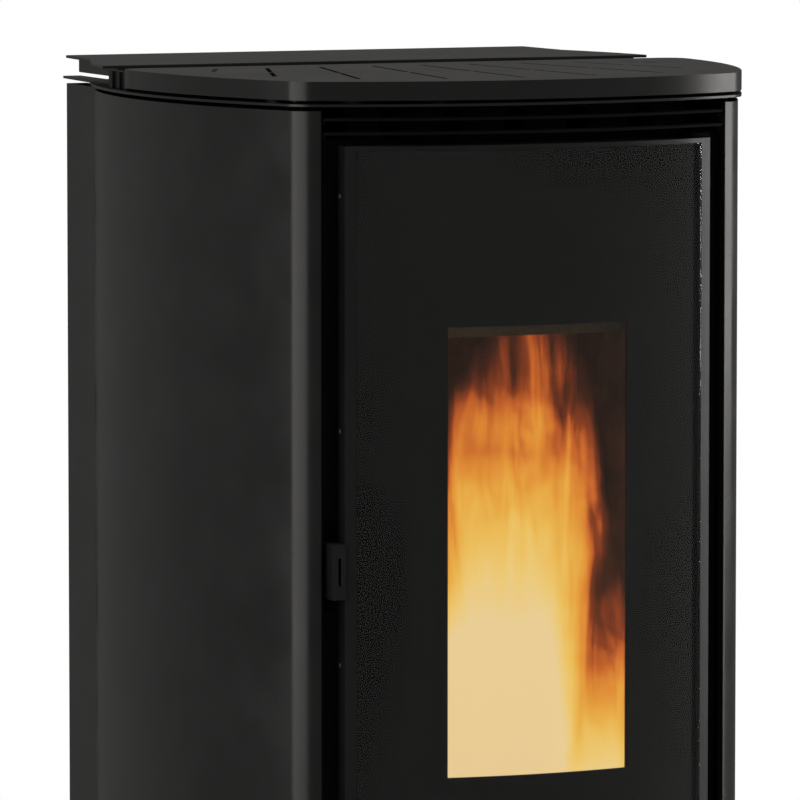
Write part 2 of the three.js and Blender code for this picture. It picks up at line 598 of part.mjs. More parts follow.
function topCover() {
  const z0 = PLATE_TOP + COVER.bottomGap;
  const shell = prismZ(coverOutline(0), z0, HEIGHT);
  const hollow = prismZ(coverOutline(COVER.wall), z0 - COVER.wall, HEIGHT - COVER.wall);
  let body = shell.subtract(hollow);
  for (const slot of SLOTS) {
    for (const side of slot.x === 0 ? [1] : [-1, 1]) {
      body = body.subtract(union(slotCutters(slot, side)));
    }
  }
  const frontBossY = VENT.frontY - COVER.bossRadius;
  const backBossY = VENT.backY + COVER.bossRadius;
  const frontBossX = HALF - COVER.bossInset;
  const backBossX = HALF - COVER.bossBackInset;
  for (const side of [-1, 1]) {
    for (const [x, y] of [[frontBossX * side, frontBossY], [backBossX * side, backBossY]]) {
      body = body.add(rod(COVER.bossRadius, [x, y, PLATE_TOP + GAP], [x, y, HEIGHT - COVER.wall / 2], 12));
    }
  }
  return body;
}

// A bowed blade with a tab turned down at each end, against the cheeks of the front frame.
function slat(index) {
  const top = PLATE_TOP - SLAT.firstDrop - SLAT.pitch * index;
  const halfX = CHEEK_X - GAP;
  const tabX = halfX - SLAT.thick;
  let body = prismZ(frontBand(SLAT.inset, FRONT_RADIUS - SLAT_BACK_RADIUS, halfX), top - SLAT.thick, top);
  for (const side of [-1, 1]) {
    body = body.add(block(side * tabX, side * halfX, FRAME.frontY - FRAME.cheek, FRAME_BACK, top - SLAT.tab,
      top));
  }
  return body;
}

// ---------------------------------------------------------------- door

function doorFrame() {
  let body = bowedBlock(DOOR.inset, DOOR.halfX, DOOR_BACK, DOOR.bottom, DOOR_TOP);
  const past = CUT * 10;
  const pocket = frontBand(DOOR.inset - past, DOOR.inset + GLASS.thick + GAP, GLASS.halfX + GAP);
  body = body.subtract(prismZ(pocket, DOOR.bottom + GLASS.rimZ - GAP, DOOR_TOP - GLASS.rimZ + GAP));
  body = body.subtract(block(-WINDOW.halfX, WINDOW.halfX, FRONT_Y - past, DOOR_BACK + past, WINDOW.bottom,
    WINDOW.top));
  body = body.subtract(bowedBlock(DOOR.inset + GLASS.thick + GAP + DOOR.skin, DOOR.halfX - DOOR.landInset,
    DOOR_BACK + past,
    DOOR.bottom + DOOR.land, DOOR_TOP - DOOR.land));
  for (const [z0, z1] of [[DOOR.bottom - past, DOOR.bottom + HINGE.depth],
    [DOOR_TOP - HINGE.depth, DOOR_TOP + past]]) {
    body = body.subtract(rod(HINGE.bore, [HINGE.x, HINGE.y, z0], [HINGE.x, HINGE.y, z1]));
  }
  const bore = rod(LATCH.pin + GAP, [-DOOR.halfX - past, LATCH.y, LATCH.z],
    [-LATCH_PIN_END + GAP, LATCH.y, LATCH.z]);
  return body.subtract(bore);
}

function doorGlass() {
  const band = frontBand(DOOR.inset, DOOR.inset + GLASS.thick, GLASS.halfX);
  return prismZ(band, DOOR.bottom + GLASS.rimZ, DOOR_TOP - GLASS.rimZ);
}

function doorGasket() {
  const y0 = DOOR_BACK + GAP;
  const y1 = FRAME.frontY - GAP;
  const width = GASKET.outX - GASKET_IN;
  const z0 = DOOR.bottom + GASKET.margin;
  const z1 = DOOR_TOP - GASKET.margin;
  const ring = block(-GASKET.outX, GASKET.outX, y0, y1, z0, z1);
  return ring.subtract(block(-GASKET_IN, GASKET_IN, y0 - CUT, y1 + CUT, z0 + width, z1 - width));
}

// A leaf on the front frame with a pin that stands into the door, at its top or its bottom.
function doorHinge(up) {
  const face = up ? DOOR.bottom - GAP : DOOR_TOP + GAP;
  const away = up ? -1 : 1;
  const leaf = block(HINGE.x - HINGE.leafX, HINGE.x + HINGE.leafX, HINGE.y - HINGE.leafFront,
    FRAME.frontY - GAP,
    face, face + away * HINGE.thick);
  const tip = face - away * (HINGE.depth - HINGE.endGap);
  return leaf.add(rod(HINGE.pin, [HINGE.x, HINGE.y, face + away * HINGE.thick / 2], [HINGE.x, HINGE.y, tip]));
}

function doorLatch() {
  const grip = block(-LATCH_OUT, -LATCH.inX, LATCH.y - LATCH.front, LATCH.y + LATCH.back,
    LATCH.z - LATCH.halfZ, LATCH.z + LATCH.halfZ);
  const faceY = LATCH.y - LATCH.front;
  const slot = block(-LATCH_SLOT.inX - LATCH_SLOT.width, -LATCH_SLOT.inX, faceY - CUT,
    faceY + LATCH_SLOT.depth,
    LATCH.z - LATCH_SLOT.halfZ, LATCH.z + LATCH_SLOT.halfZ);
  const tail = block(-LATCH_TAIL.inX - LATCH_TAIL.width, -LATCH_TAIL.inX, LATCH.y, LATCH_TAIL.backY,
    LATCH.z - LATCH_TAIL.halfZ, LATCH.z + LATCH_TAIL.halfZ);
  const pin = rod(LATCH.pin, [-LATCH.inX - BITE, LATCH.y, LATCH.z], [-LATCH_PIN_END, LATCH.y, LATCH.z]);
  return union([grip, tail, pin]).subtract(slot);
}

// ---------------------------------------------------------------- ash drawer and lower panel

function drawerFront() {
  const body = bowedBlock(DOOR.inset, DOOR.halfX, DOOR_BACK, DRAWER.bottom, DRAWER_TOP);
  const skin = DRAWER.skin;
  const hollow = bowedBlock(DOOR.inset + skin, DOOR.halfX - skin, DOOR_BACK - skin,
    DRAWER.bottom + skin, DRAWER_TOP - skin);
  const grip = block(-DRAWER.gripX, DRAWER.gripX, FRONT_Y + skin * 3, DOOR_BACK + CUT,
    DRAWER.bottom - CUT, DRAWER.bottom + DRAWER.gripZ);
  const opened = body.subtract(hollow).subtract(grip);
  const backing = block(-DRAWER.gripX - skin, DRAWER.gripX + skin, DOOR_BACK - skin, DOOR_BACK,
    DRAWER.bottom + DRAWER.gripZ, DRAWER_TOP - skin / 2);
  return opened.add(backing);
}

function ashDrawer() {
  const wall = DRAWER.wall;
  const y0 = DOOR_BACK + GAP;
  const outer = block(-DRAWER.halfX, DRAWER.halfX, y0, DRAWER.boxBack, DRAWER_FLOOR, DRAWER.boxTop);
  return outer.subtract(block(-DRAWER.halfX + wall, DRAWER.halfX - wall, y0 + wall, DRAWER.boxBack - wall,
    DRAWER_FLOOR + wall, DRAWER.boxTop + wall));
}

function ashBox() {
  const y0 = FRAME_BACK + GAP;
  const top = FIREBOX.bottom - GAP;
  const outer = block(-ASH_BOX.halfX, ASH_BOX.halfX, y0, ASH_BOX.backY, ASH_BOX.bottom, top);
  return outer.subtract(block(-ASH_BOX.halfX + SHEET, ASH_BOX.halfX - SHEET, y0 - CUT, ASH_BOX.backY - SHEET,
    ASH_BOX.bottom + SHEET, top + CUT));
}

function lowerPanel() {
  const skin = DRAWER.skin;
  const backY = FRAME.frontY - GAP;
  const body = bowedBlock(DOOR.inset, DOOR.halfX, backY, LOWER.bottom, LOWER.top);
  const hollow = bowedBlock(DOOR.inset + skin, DOOR.halfX - skin, backY + CUT, LOWER.bottom + skin,
    LOWER.top - skin);
  return body.subtract(hollow);
}

// ---------------------------------------------------------------- firebox

function firebox() {
  const { halfX, backY, bottom, top, wall } = FIREBOX;
  const y0 = FRAME_BACK + GAP;
  let body = block(-halfX, halfX, y0, backY, bottom, top);
  body = body.subtract(block(-halfX + wall, halfX - wall, y0 - CUT, backY - wall, bottom + wall, top - wall));
  for (const side of [-1, 1]) {
    const inner = side * (halfX - wall);
    body = body.add(block(inner - side * LEDGE.width, inner + side, BAFFLE.frontY, BAFFLE.backY,
      BAFFLE.bottom - GAP - LEDGE.thick, BAFFLE.bottom - GAP));
  }
  body = body.subtract(block(-ASH_MOUTH.halfX, ASH_MOUTH.halfX, ASH_MOUTH.frontY, ASH_MOUTH.backY,
    bottom - CUT, bottom + wall + CUT));
  body = body.subtract(block(-FLUE_MOUTH.halfX, FLUE_MOUTH.halfX, FLUE_MOUTH.frontY, FLUE_MOUTH.backY,
    top - wall - CUT, top + CUT));
  body = body.subtract(block(-CHUTE.halfX + CHUTE.wall, CHUTE.halfX - CHUTE.wall, backY - wall - CUT,
    backY + CUT,
    CHUTE.bottom + CHUTE.wall, CHUTE.top - CHUTE.wall));
  const back = (radius, x, z) => rod(radius, [x, backY - wall - CUT, z], [x, backY + CUT, z], 24);
  body = body.subtract(back(SMOKE_FAN.eye, SMOKE_FAN.x, SMOKE_FAN.z));
  body = body.subtract(back(AIR_INLET.radius - AIR_INLET.wall, AIR_INLET.x, AIR_INLET.z));
  return body.subtract(back(IGNITER.radius + GAP, 0, IGNITER.z));
}

function firebrick() {
  const bottom = SHELF.z + SHELF.thick + GAP;
  const y0 = BRICK_BACK - BRICK.thick;
  const board = block(-BRICK_HALF, BRICK_HALF, y0, BRICK_BACK, bottom, BRICK.top);
  const drop = block(-CHUTE.halfX, CHUTE.halfX, y0 - CUT, BRICK_BACK + CUT, CHUTE.bottom, CHUTE.top);
  const heater = rod(IGNITER.radius * 2, [0, y0 - CUT, IGNITER.z], [0, BRICK_BACK + CUT, IGNITER.z]);
  return board.subtract(drop).subtract(heater);
}

function baffle() {
  return block(-BAFFLE_HALF, BAFFLE_HALF, BAFFLE.frontY, BAFFLE.backY, BAFFLE.bottom,
    BAFFLE.bottom + BAFFLE.thick);
}

function potShelf() {
  const inner = FIREBOX.halfX - FIREBOX.wall - GAP;
  const top = SHELF.z + SHELF.thick;
  const plate = block(-inner, inner, SHELF.frontY, BRICK_BACK, SHELF.z, top);
  const wellX = POT.halfX + POT.clear;
  const well = block(-wellX, wellX, POT.frontY - POT.clear, POT.backY + POT.clear, SHELF.z - CUT, top + CUT);
  let body = plate.subtract(well);
  for (const side of [-1, 1]) {
    const x = side * (POT.halfX + SHELF.slotGap);
    body = body.subtract(block(x, x + side * SHELF.slot, POT.frontY, POT.backY, SHELF.z - CUT, top + CUT));
  }
  return body;
}

function burnerPot() {
  const seat = SHELF.z + SHELF.thick + GAP;
  const bottom = seat - POT.under;
  const top = seat + POT.over;
  const body = block(-POT.halfX, POT.halfX, POT.frontY, POT.backY, bottom, top);
  const rim = block(-POT.halfX - POT.rim, POT.halfX + POT.rim, POT.frontY - POT.rim, POT.backY + POT.rim,
    seat, seat + POT.rimThick);
  const well = block(-POT.halfX + POT.wall, POT.halfX - POT.wall, POT.frontY + POT.wall, POT.backY - POT.wall,
    bottom + POT.wall, top + CUT);
  let pot = body.add(rim).subtract(well);
  const middleY = (POT.frontY + POT.backY) / 2;
  const step = POT.halfX / 2;
  for (const x of [-step, 0, step]) {
    for (const y of [middleY - step, middleY, middleY + step]) {
      pot = pot.subtract(rod(POT.hole, [x, y, bottom - CUT], [x, y, bottom + POT.wall + CUT], 8));
    }
  }
  const heaterPort = rod(IGNITER.radius + POT.clear, [0, POT.backY - POT.wall - CUT, IGNITER.z],
    [0, POT.backY + CUT, IGNITER.z], 12);
  return pot.subtract(heaterPort);
}

function igniter() {
  const { radius, z, frontY, backY } = IGNITER;
  const element = rod(radius, [0, frontY, z], [0, backY, z], 16);
  return element.add(rod(radius * 2, [0, GAP, z], [0, backY / 3, z], 12));
}

function heatExchanger() {
  const { wall, tubeDrop, tubeRadius, tubeWall, count, margin } = EXCHANGER;
  const top = EXCHANGER_TOP;
  const tubeZ = top - tubeDrop;
  const pitch = (2 * (FIREBOX.halfX - margin)) / count;
  const y0 = FRAME_BACK + GAP;
  const y1 = FIREBOX.backY;
  const z0 = FIREBOX.top + GAP;
  const halfX = FIREBOX.halfX;
  const shell = block(-halfX, halfX, y0, y1, z0, top);
  let body = shell.subtract(block(-halfX + wall, halfX - wall, y0 + wall, y1 - wall, z0 - CUT, top - wall));
  for (let i = 0; i < count; i += 1) {
    const x = (i - (count - 1) / 2) * pitch;
    body = body.add(rod(tubeRadius, [x, y0, tubeZ], [x, y1, tubeZ], 16));
    body = body.subtract(rod(tubeRadius - tubeWall, [x, y0 - CUT, tubeZ], [x, y1 + CUT, tubeZ], 16));
  }
  return body;
}

// The duct that carries room air up behind the firebox and across to the exchanger's tubes.
function airDuct() {
  const y0 = FIREBOX.backY + GAP;
  const y1 = DUCT.backY;
  const top = EXCHANGER_TOP;
  const riser = block(-DUCT.outX, -DUCT_IN, y0, y1, DUCT.bottom, top);
  const plenum = block(-DUCT.outX, DUCT.outX, y0, y1, DUCT.plenumBottom, top);
  const inRiser = block(-DUCT.outX + SHEET, -DUCT_IN - SHEET, y0 + SHEET, y1 - SHEET, DUCT.bottom - CUT,
    top - SHEET);
  const inPlenum = block(-DUCT.outX + SHEET, DUCT.outX - SHEET, y0 - CUT, y1 - SHEET,
    DUCT.plenumBottom + SHEET, top - SHEET);
  return riser.add(plenum).subtract(inRiser).subtract(inPlenum);
}

// ---------------------------------------------------------------- pellet feed

const AUGER_TILT = Math.atan2(AUGER.bottomY - AUGER.topY, AUGER.topZ - AUGER.bottomZ);

// The feed's own frame: origin at the tube's lower end, +Z up the tube, +Y to the hopper's side.
const feed = new THREE.Group();
feed.position.set(0, AUGER.bottomY, AUGER.bottomZ);
feed.rotation.x = AUGER_TILT;
stove.add(feed);

function toStove(body) {
  feed.updateMatrix();
  return body.transform(feed.matrix.toArray());
}

function augerTube() {
  const { radius, bore, plate } = AUGER;
  const { from, to, halfX, boreX, height } = AUGER_INLET;
  const shell = rod(radius, [0, 0, 0], [0, 0, AUGER_LENGTH], 24);
  const collar = block(-halfX, halfX, 0, height, from, to);
  const hollow = rod(bore, [0, 0, plate], [0, 0, AUGER_LENGTH - plate], 24);
  const throat = block(-boreX, boreX, 0, height + CUT, from + plate, to - plate);
  const mouth = block(-AUGER_OUTLET.halfX, AUGER_OUTLET.halfX, -radius - CUT, 0, AUGER_OUTLET.from,
    AUGER_LENGTH - plate);
  const shaftHole = rod(SCREW.shaft + GAP, [0, 0, -CUT], [0, 0, AUGER_LENGTH + CUT], 16);
  return shell.add(collar).subtract(hollow).subtract(throat).subtract(mouth).subtract(shaftHole);
}

// One helical flight, as a closed ribbon wound round the shaft.
function flight() {
  const { flight: outer, thick, pitch, from, to } = SCREW;
  const inner = SCREW.shaft - BITE;
  const perTurn = 14;
  const steps = Math.round(((to - from) / pitch) * perTurn);
  const positions = [];
  const faces = [];
  for (let i = 0; i <= steps; i += 1) {
    const turn = (i / perTurn) * Math.PI * 2;
    const z = from + (i / perTurn) * pitch;
    for (const [r, dz] of [[inner, 0], [outer, 0], [outer, thick], [inner, thick]]) {
      positions.push(r * Math.cos(turn), r * Math.sin(turn), z + dz);
    }
  }
  const quad = (a, b, c, d) => faces.push(a, b, c, a, c, d);
  quad(0, 1, 2, 3);
  for (let i = 0; i < steps; i += 1) {
    for (let k = 0; k < 4; k += 1) {
      const a = i * 4 + k;
      const b = i * 4 + ((k + 1) % 4);
      quad(a, a + 4, b + 4, b);
    }
  }
  const last = steps * 4;
  quad(last + 3, last + 2, last + 1, last);
  const geometry = new THREE.BufferGeometry();
  geometry.setAttribute('position', new THREE.Float32BufferAttribute(positions, 3));
  geometry.setIndex(faces);
  return solid(geometry);
}

function augerScrew() {
  const shaft = rod(SCREW.shaft, [0, 0, -SCREW.stub], [0, 0, AUGER_LENGTH + SCREW.tip], 14);
  return shaft.add(flight());
}

function gearMotor() {
  const { halfX, halfN, gearbox, motorRadius, length } = GEARMOTOR;
  const box = block(-halfX, halfX, -halfN, halfN, -gearbox, -GAP);
  const motor = rod(motorRadius, [0, 0, -length], [0, 0, -gearbox / 2], 20);
  const socket = rod(SCREW.shaft + GAP, [0, 0, -SCREW.stub - GEARMOTOR.endGap], [0, 0, CUT], 14);
  return box.add(motor).subtract(socket);
}

function chute() {
  const { halfX, wall, bottom, top } = CHUTE;
  const y0 = FIREBOX.backY + GAP;
  const backY = AUGER.topY + AUGER.radius + AUGER.plate;
  const outline = (inset) => [
    [y0 - (inset ? CUT : 0), bottom + inset],
    [backY - inset, AUGER.topZ - AUGER.radius],
    [backY - inset, AUGER.topZ],
    [y0 + inset, AUGER.topZ],
    [y0 - (inset ? CUT : 0), top - inset],
  ];
  const shell = prismX(outline(0), -halfX, halfX).subtract(prismX(outline(wall), -halfX + wall,
    halfX - wall));
  const end = AUGER_LENGTH - AUGER.plate;
  const far = AUGER_LENGTH * 2;
  const keepOut = toStove(rod(AUGER.radius + GAP, [0, 0, -AUGER.radius], [0, 0, far], 24));
  const above = toStove(block(-far, far, 0, far, 0, far));
  const beyond = toStove(block(-far, far, -far, far, end, far));
  return shell.subtract(keepOut).subtract(above).subtract(beyond);
}

function hopper() {
  const h = HOPPER;
  const rects = (inset) => [
    { x: h.neckHalfX - inset, y0: h.neckFrontY + inset, y1: h.neckBackY - inset, z: h.neckBottom - inset },
    { x: h.neckHalfX - inset, y0: h.neckFrontY + inset, y1: h.neckBackY - inset, z: h.taperBottom },
    { x: h.halfX - inset, y0: h.frontY + inset, y1: h.backY - inset, z: h.taperTop },
    { x: h.halfX - inset, y0: h.frontY + inset, y1: h.backY - inset, z: h.rimTop + inset },
  ];
  const stack = (inset) => {
    const [neck, low, high, rim] = rects(inset);
    return union([funnel(neck, low), funnel(low, high), funnel(high, rim)]);
  };
  const seat = PLATE_TOP + GAP;
  const flange = block(-h.halfX - h.flange, h.halfX + h.flange, h.frontY - h.flange / 2,
    h.backY + h.flange / 2,
    seat, seat + h.wall);
  const below = toStove(block(-h.halfX, h.halfX, -h.halfX, AUGER_INLET.height + GAP, -h.halfX, h.halfX));
  return stack(0).add(flange).subtract(stack(h.wall)).subtract(below);
}

function hopperGrate() {
  const h = HOPPER;
  const x = h.halfX - GRATE.margin;
  const y0 = h.frontY + GRATE.margin;
  const y1 = h.backY - GRATE.margin;
  let body = block(-x, x, y0, y1, GRATE.z, GRATE.z + GRATE.thick);
  const stepX = (2 * x - GRATE.bar) / GRATE.columns;
  const stepY = (y1 - y0 - GRATE.bar) / GRATE.rows;
  for (let i = 0; i < GRATE.columns; i += 1) {
    for (let j = 0; j < GRATE.rows; j += 1) {
      const cx = -x + GRATE.bar + stepX * i;
      const cy = y0 + GRATE.bar + stepY * j;
      body = body.subtract(block(cx, cx + stepX - GRATE.bar, cy, cy + stepY - GRATE.bar,
        GRATE.z - CUT, GRATE.z + GRATE.thick + CUT));
    }
  }
  return body;
}

// ---------------------------------------------------------------- lid, console

function lidOutline() {
  const start = sideAngle(LID.frontY, 0);
  const side = arcPath(0, start, sideAngle(LID_PLAN.shoulderY, 0));
  const half = [...side, [LID_PLAN.sideX, LID_PLAN.shoulderY + LID_PLAN.step], [LID_PLAN.backX, LID.backY]];
  return [...half, ...mirrored(half)];
}

function hopperLid() {
  const under = HEIGHT - LID.sheet;
  const t = LID.flangeThick;
  const bottom = LID_FLANGE.bottom;
  let body = prismZ(lidOutline(), under, HEIGHT);
  body = body.add(block(-LID_FLANGE.frontX, LID_FLANGE.frontX, LID.frontY, LID.frontY + t, bottom,
    HEIGHT - BITE));
  for (const side of [-1, 1]) {
    const x = side * LID_FLANGE.x;
    body = body.add(block(x - side * t, x, LID.frontY, LID_FLANGE.backY, bottom, HEIGHT - BITE));
    const k = side * LID_HINGE.x;
    const knuckle = rod(LID_HINGE.knuckleRadius, [k - LID_HINGE.knuckle, LID_HINGE.y, LID_HINGE.z],
      [k + LID_HINGE.knuckle, LID_HINGE.y, LID_HINGE.z], 16);
    const web = block(k - LID_HINGE.knuckle, k + LID_HINGE.knuckle, LID_HINGE.y - LID_HINGE.knuckle,
      LID_HINGE.y + LID_HINGE.knuckle, LID_HINGE.z, HEIGHT - BITE);
    const bore = rod(LID_HINGE.bore, [k - LID_HINGE.knuckle - CUT, LID_HINGE.y, LID_HINGE.z],
      [k + LID_HINGE.knuckle + CUT, LID_HINGE.y, LID_HINGE.z], 16);
    body = body.add(knuckle).add(web).subtract(bore);
  }
  return body;
}

function lidHinge(side) {
  const { y, z, armThick, armTop, armEnd, legBottom, legBackY, kneeY, pin, pinLength, knuckle } = LID_HINGE;
  const seatY = REAR.frontY + SHEET + GAP;
  const underPlate = PLATE_BOTTOM - GAP;
  const pastPlate = PLATE.recessY + GAP;
  const side1 = LID_HINGE.x - knuckle - GAP;
  const arm = prismX([
    [seatY, legBottom],
    [seatY, underPlate],
    [pastPlate, underPlate],
    [pastPlate, armTop],
    [armEnd, armTop],
    [armEnd, armTop - armThick],
    [kneeY, armTop - armThick],
    [legBackY, legBottom],
  ], side1 - armThick, side1);
  const axle = rod(pin, [side1 - armThick / 2, y, z], [side1 - armThick / 2 + pinLength, y, z], 12);
  const body = arm.add(axle);
  return side > 0 ? body : body.mirror([1, 0, 0]);
}

function controlConsole() {
  const { halfX, frontY, backY, height, endTop, endWidth, rib, ribCount } = CONSOLE;
  const z0 = PLATE_TOP + GAP;
  let body = block(-halfX, halfX, frontY, backY, z0, z0 + height);
  for (const side of [-1, 1]) {
    body = body.add(block(side * (halfX - endWidth), side * halfX, frontY, backY, z0, endTop));
    const pitch = (backY - frontY) / ribCount;
    for (let i = 0; i < ribCount; i += 1) {
      const y = frontY + pitch * i;
      body = body.add(block(side * (halfX - BITE), side * (halfX + rib), y, y + rib * 2, z0, endTop));
    }
  }
  for (const x of buttonPlaces()) {
    body = body.subtract(rod(BUTTON.radius + GAP, [x, BUTTON.y, buttonFloor() - GAP],
      [x, BUTTON.y, z0 + height + CUT], 16));
  }
  return body;
}

function buttonPlaces() {
  return Array.from({ length: BUTTON.count }, (_, i) => (i - (BUTTON.count - 1) / 2) * BUTTON.x);
}

function buttonFloor() {
  return PLATE_TOP + GAP + CONSOLE.height + BUTTON.proud - BUTTON.height - BUTTON.travel;
}

function button(x) {
  const top = PLATE_TOP + GAP + CONSOLE.height + BUTTON.proud;
  return rod(BUTTON.radius, [x, BUTTON.y, top - BUTTON.height], [x, BUTTON.y, top], 16);
}

// ---------------------------------------------------------------- fans, flue and air inlet

function smokeFanHousing() {
  const { x, z, radius, depth, wall, eye, outletHalfX, outletBottom } = SMOKE_FAN;
  const y0 = FIREBOX.backY + GAP;
  const y1 = y0 + depth;
  const drum = rod(radius, [x, y0, z], [x, y1, z], 28);
  const outlet = block(x - outletHalfX, x + outletHalfX, y0, y1, outletBottom, z);
  const inDrum = rod(radius - wall, [x, y0 + wall, z], [x, y1 - wall, z], 28);
  const inOutlet = block(x - outletHalfX + wall, x + outletHalfX - wall, y0 + wall, y1 - wall,
    outletBottom + wall, z);
  const eyeHole = rod(eye, [x, y0 - CUT, z], [x, y0 + wall + CUT, z], 24);
  const shaftHole = rod(IMPELLER.shaft + GAP, [x, y1 - wall - CUT, z], [x, y1 + CUT, z], 12);
  const flueHole = rod(FLUE.radius - FLUE.wall, [x, y1 - wall - CUT, FLUE.z], [x, y1 + CUT, FLUE.z], 28);
  const holes = union([inDrum, inOutlet, eyeHole, shaftHole, flueHole]);
  return drum.add(outlet).subtract(holes);
}

function smokeImpeller() {
  const { radius, disc, hub, shaft, bladeDepth, blades, blade, inner, frontY } = IMPELLER;
  const { x, z } = SMOKE_FAN;
  const back = frontY + bladeDepth;
  const y1 = FIREBOX.backY + GAP + SMOKE_FAN.depth;
  let body = rod(radius, [x, back, z], [x, back + disc, z], 24);
  body = body.add(rod(hub, [x, frontY + bladeDepth / 2, z], [x, back + disc, z], 12));
  body = body.add(rod(shaft, [x, back, z], [x, y1 + SMOKE_MOTOR.length / 4, z], 12));
  for (let i = 0; i < blades; i += 1) {
    const turn = (i / blades) * Math.PI * 2;
    const vane = new THREE.BoxGeometry(radius - inner - BITE, bladeDepth + BITE, blade);
    vane.translate((radius + inner) / 2 - BITE, frontY + bladeDepth / 2, 0);
    vane.rotateY(turn);
    vane.translate(x, 0, z);
    body = body.add(solid(vane));
  }
  return body;
}

function smokeMotor() {
  const { x, z } = SMOKE_FAN;
  const y0 = FIREBOX.backY + 2 * GAP + SMOKE_FAN.depth;
  const can = rod(SMOKE_MOTOR.radius, [x, y0, z], [x, y0 + SMOKE_MOTOR.length, z], 24);
  const socket = rod(IMPELLER.shaft + GAP, [x, y0 - CUT, z], [x, y0 + SMOKE_MOTOR.length / 4 + CUT, z], 12);
  return can.subtract(socket);
}

function flueOutlet() {
  const { radius, wall, z, backY, collar, collarLength } = FLUE;
  const x = SMOKE_FAN.x;
  const y0 = FIREBOX.backY + 2 * GAP + SMOKE_FAN.depth;
  const pipe = rod(radius, [x, y0, z], [x, backY, z], 28);
  const seatY = REAR.frontY + SHEET + GAP;
  const rib = rod(radius + collar, [x, seatY, z], [x, seatY + collarLength, z], 28);
  return pipe.add(rib).subtract(rod(radius - wall, [x, y0 - CUT, z], [x, backY + CUT, z], 28));
}

function airInlet() {
  const { radius, wall, x, z, backY } = AIR_INLET;
  return tube(radius, radius - wall, [x, FIREBOX.backY + GAP, z], [x, backY, z], 24);
}

function roomFanHousing() {
  const { outX, inX, frontY, backY, top, wall, axisZ } = ROOM_FAN;
  const axisY = ROOM_FAN_AXIS_Y;
  const z0 = BASE_TOP + GAP;
  const shell = block(outX, inX, frontY, backY, z0, top);
  const hollow = block(outX + wall, inX - wall, frontY + wall, backY - wall, z0 + wall, top - wall);
  const outlet = block(-DUCT.outX, -DUCT_IN, frontY + wall, DUCT.backY, top - wall - CUT, top + CUT);
  const intake = block(outX + ROOM_FAN.lip, inX - ROOM_FAN.lip, backY - wall - CUT, backY + CUT,
    z0 + ROOM_FAN.sill, top - ROOM_FAN.sill);
  const shaft = rod(ROTOR.shaft + GAP, [outX - CUT, axisY, axisZ], [inX + CUT, axisY, axisZ], 12);
  return shell.subtract(hollow).subtract(outlet).subtract(intake).subtract(shaft);
}

function roomFanRotor() {
  const { outX, inX, wall, axisZ } = ROOM_FAN;
  const axisY = ROOM_FAN_AXIS_Y;
  const { radius, disc, blades, blade, bladeLength, shaft, endGap } = ROTOR;
  const x0 = outX + wall + endGap;
  const x1 = inX - wall - endGap;
  const middle = (x0 + x1) / 2;
  let body = rod(shaft, [outX, axisY, axisZ], [inX + ROOM_MOTOR.length / 4, axisY, axisZ], 12);
  for (const x of [x0, middle, x1 - disc]) {
    body = body.add(rod(radius, [x, axisY, axisZ], [x + disc, axisY, axisZ], 20));
  }
  for (let i = 0; i < blades; i += 1) {
    const turn = (i / blades) * Math.PI * 2;
    const vane = new THREE.BoxGeometry(x1 - x0, blade, bladeLength);
    vane.translate(middle, 0, radius - bladeLength / 2 - BITE);
    vane.rotateX(turn);
    vane.translate(0, axisY, axisZ);
    body = body.add(solid(vane));
  }
  return body;
}

function roomMotor() {
  const { inX, axisZ } = ROOM_FAN;
  const axisY = ROOM_FAN_AXIS_Y;
  const x0 = inX + GAP;
  const can = rod(ROOM_MOTOR.radius, [x0, axisY, axisZ], [x0 + ROOM_MOTOR.length, axisY, axisZ], 20);
  const stand = block(x0, x0 + ROOM_MOTOR.length, axisY - ROOM_MOTOR.radius / 2,
    axisY + ROOM_MOTOR.radius / 2,
    BASE_TOP + GAP, axisZ - ROOM_MOTOR.radius / 2);
  const socket = rod(ROTOR.shaft + GAP, [x0 - CUT, axisY, axisZ],
    [x0 + ROOM_MOTOR.length / 4 + CUT, axisY, axisZ], 12);
  return can.add(stand).subtract(socket);
}

// ---------------------------------------------------------------- electrics

function controlBoard() {
  const { thick, frontY, backY, bottom, top, part } = BOARD;
  const x1 = CHASSIS.x - GAP;
  const x0 = x1 - thick;
  const middleY = (frontY + backY) / 2;
  const middleZ = (bottom + top) / 2;
  const inner = x0 + BITE;
  const canY = middleY + part * 4;
  const canZ = middleZ + part * 4;
  return union([
    block(x0, x1, frontY, backY, bottom, top),
    block(x0 - part * 2, inner, frontY + part, middleY - part, bottom + part, middleZ - part),
    block(x0 - part, inner, middleY, backY - part, bottom + part, middleZ - part),
    block(x0 - part, inner, frontY + part, middleY, middleZ + part, top - part),
    rod(part, [x0 - part * 3, canY, canZ], [inner, canY, canZ], 14),
  ]);
}

const INLET_FACE = REAR.frontY + SHEET + GAP + INLET.flange;

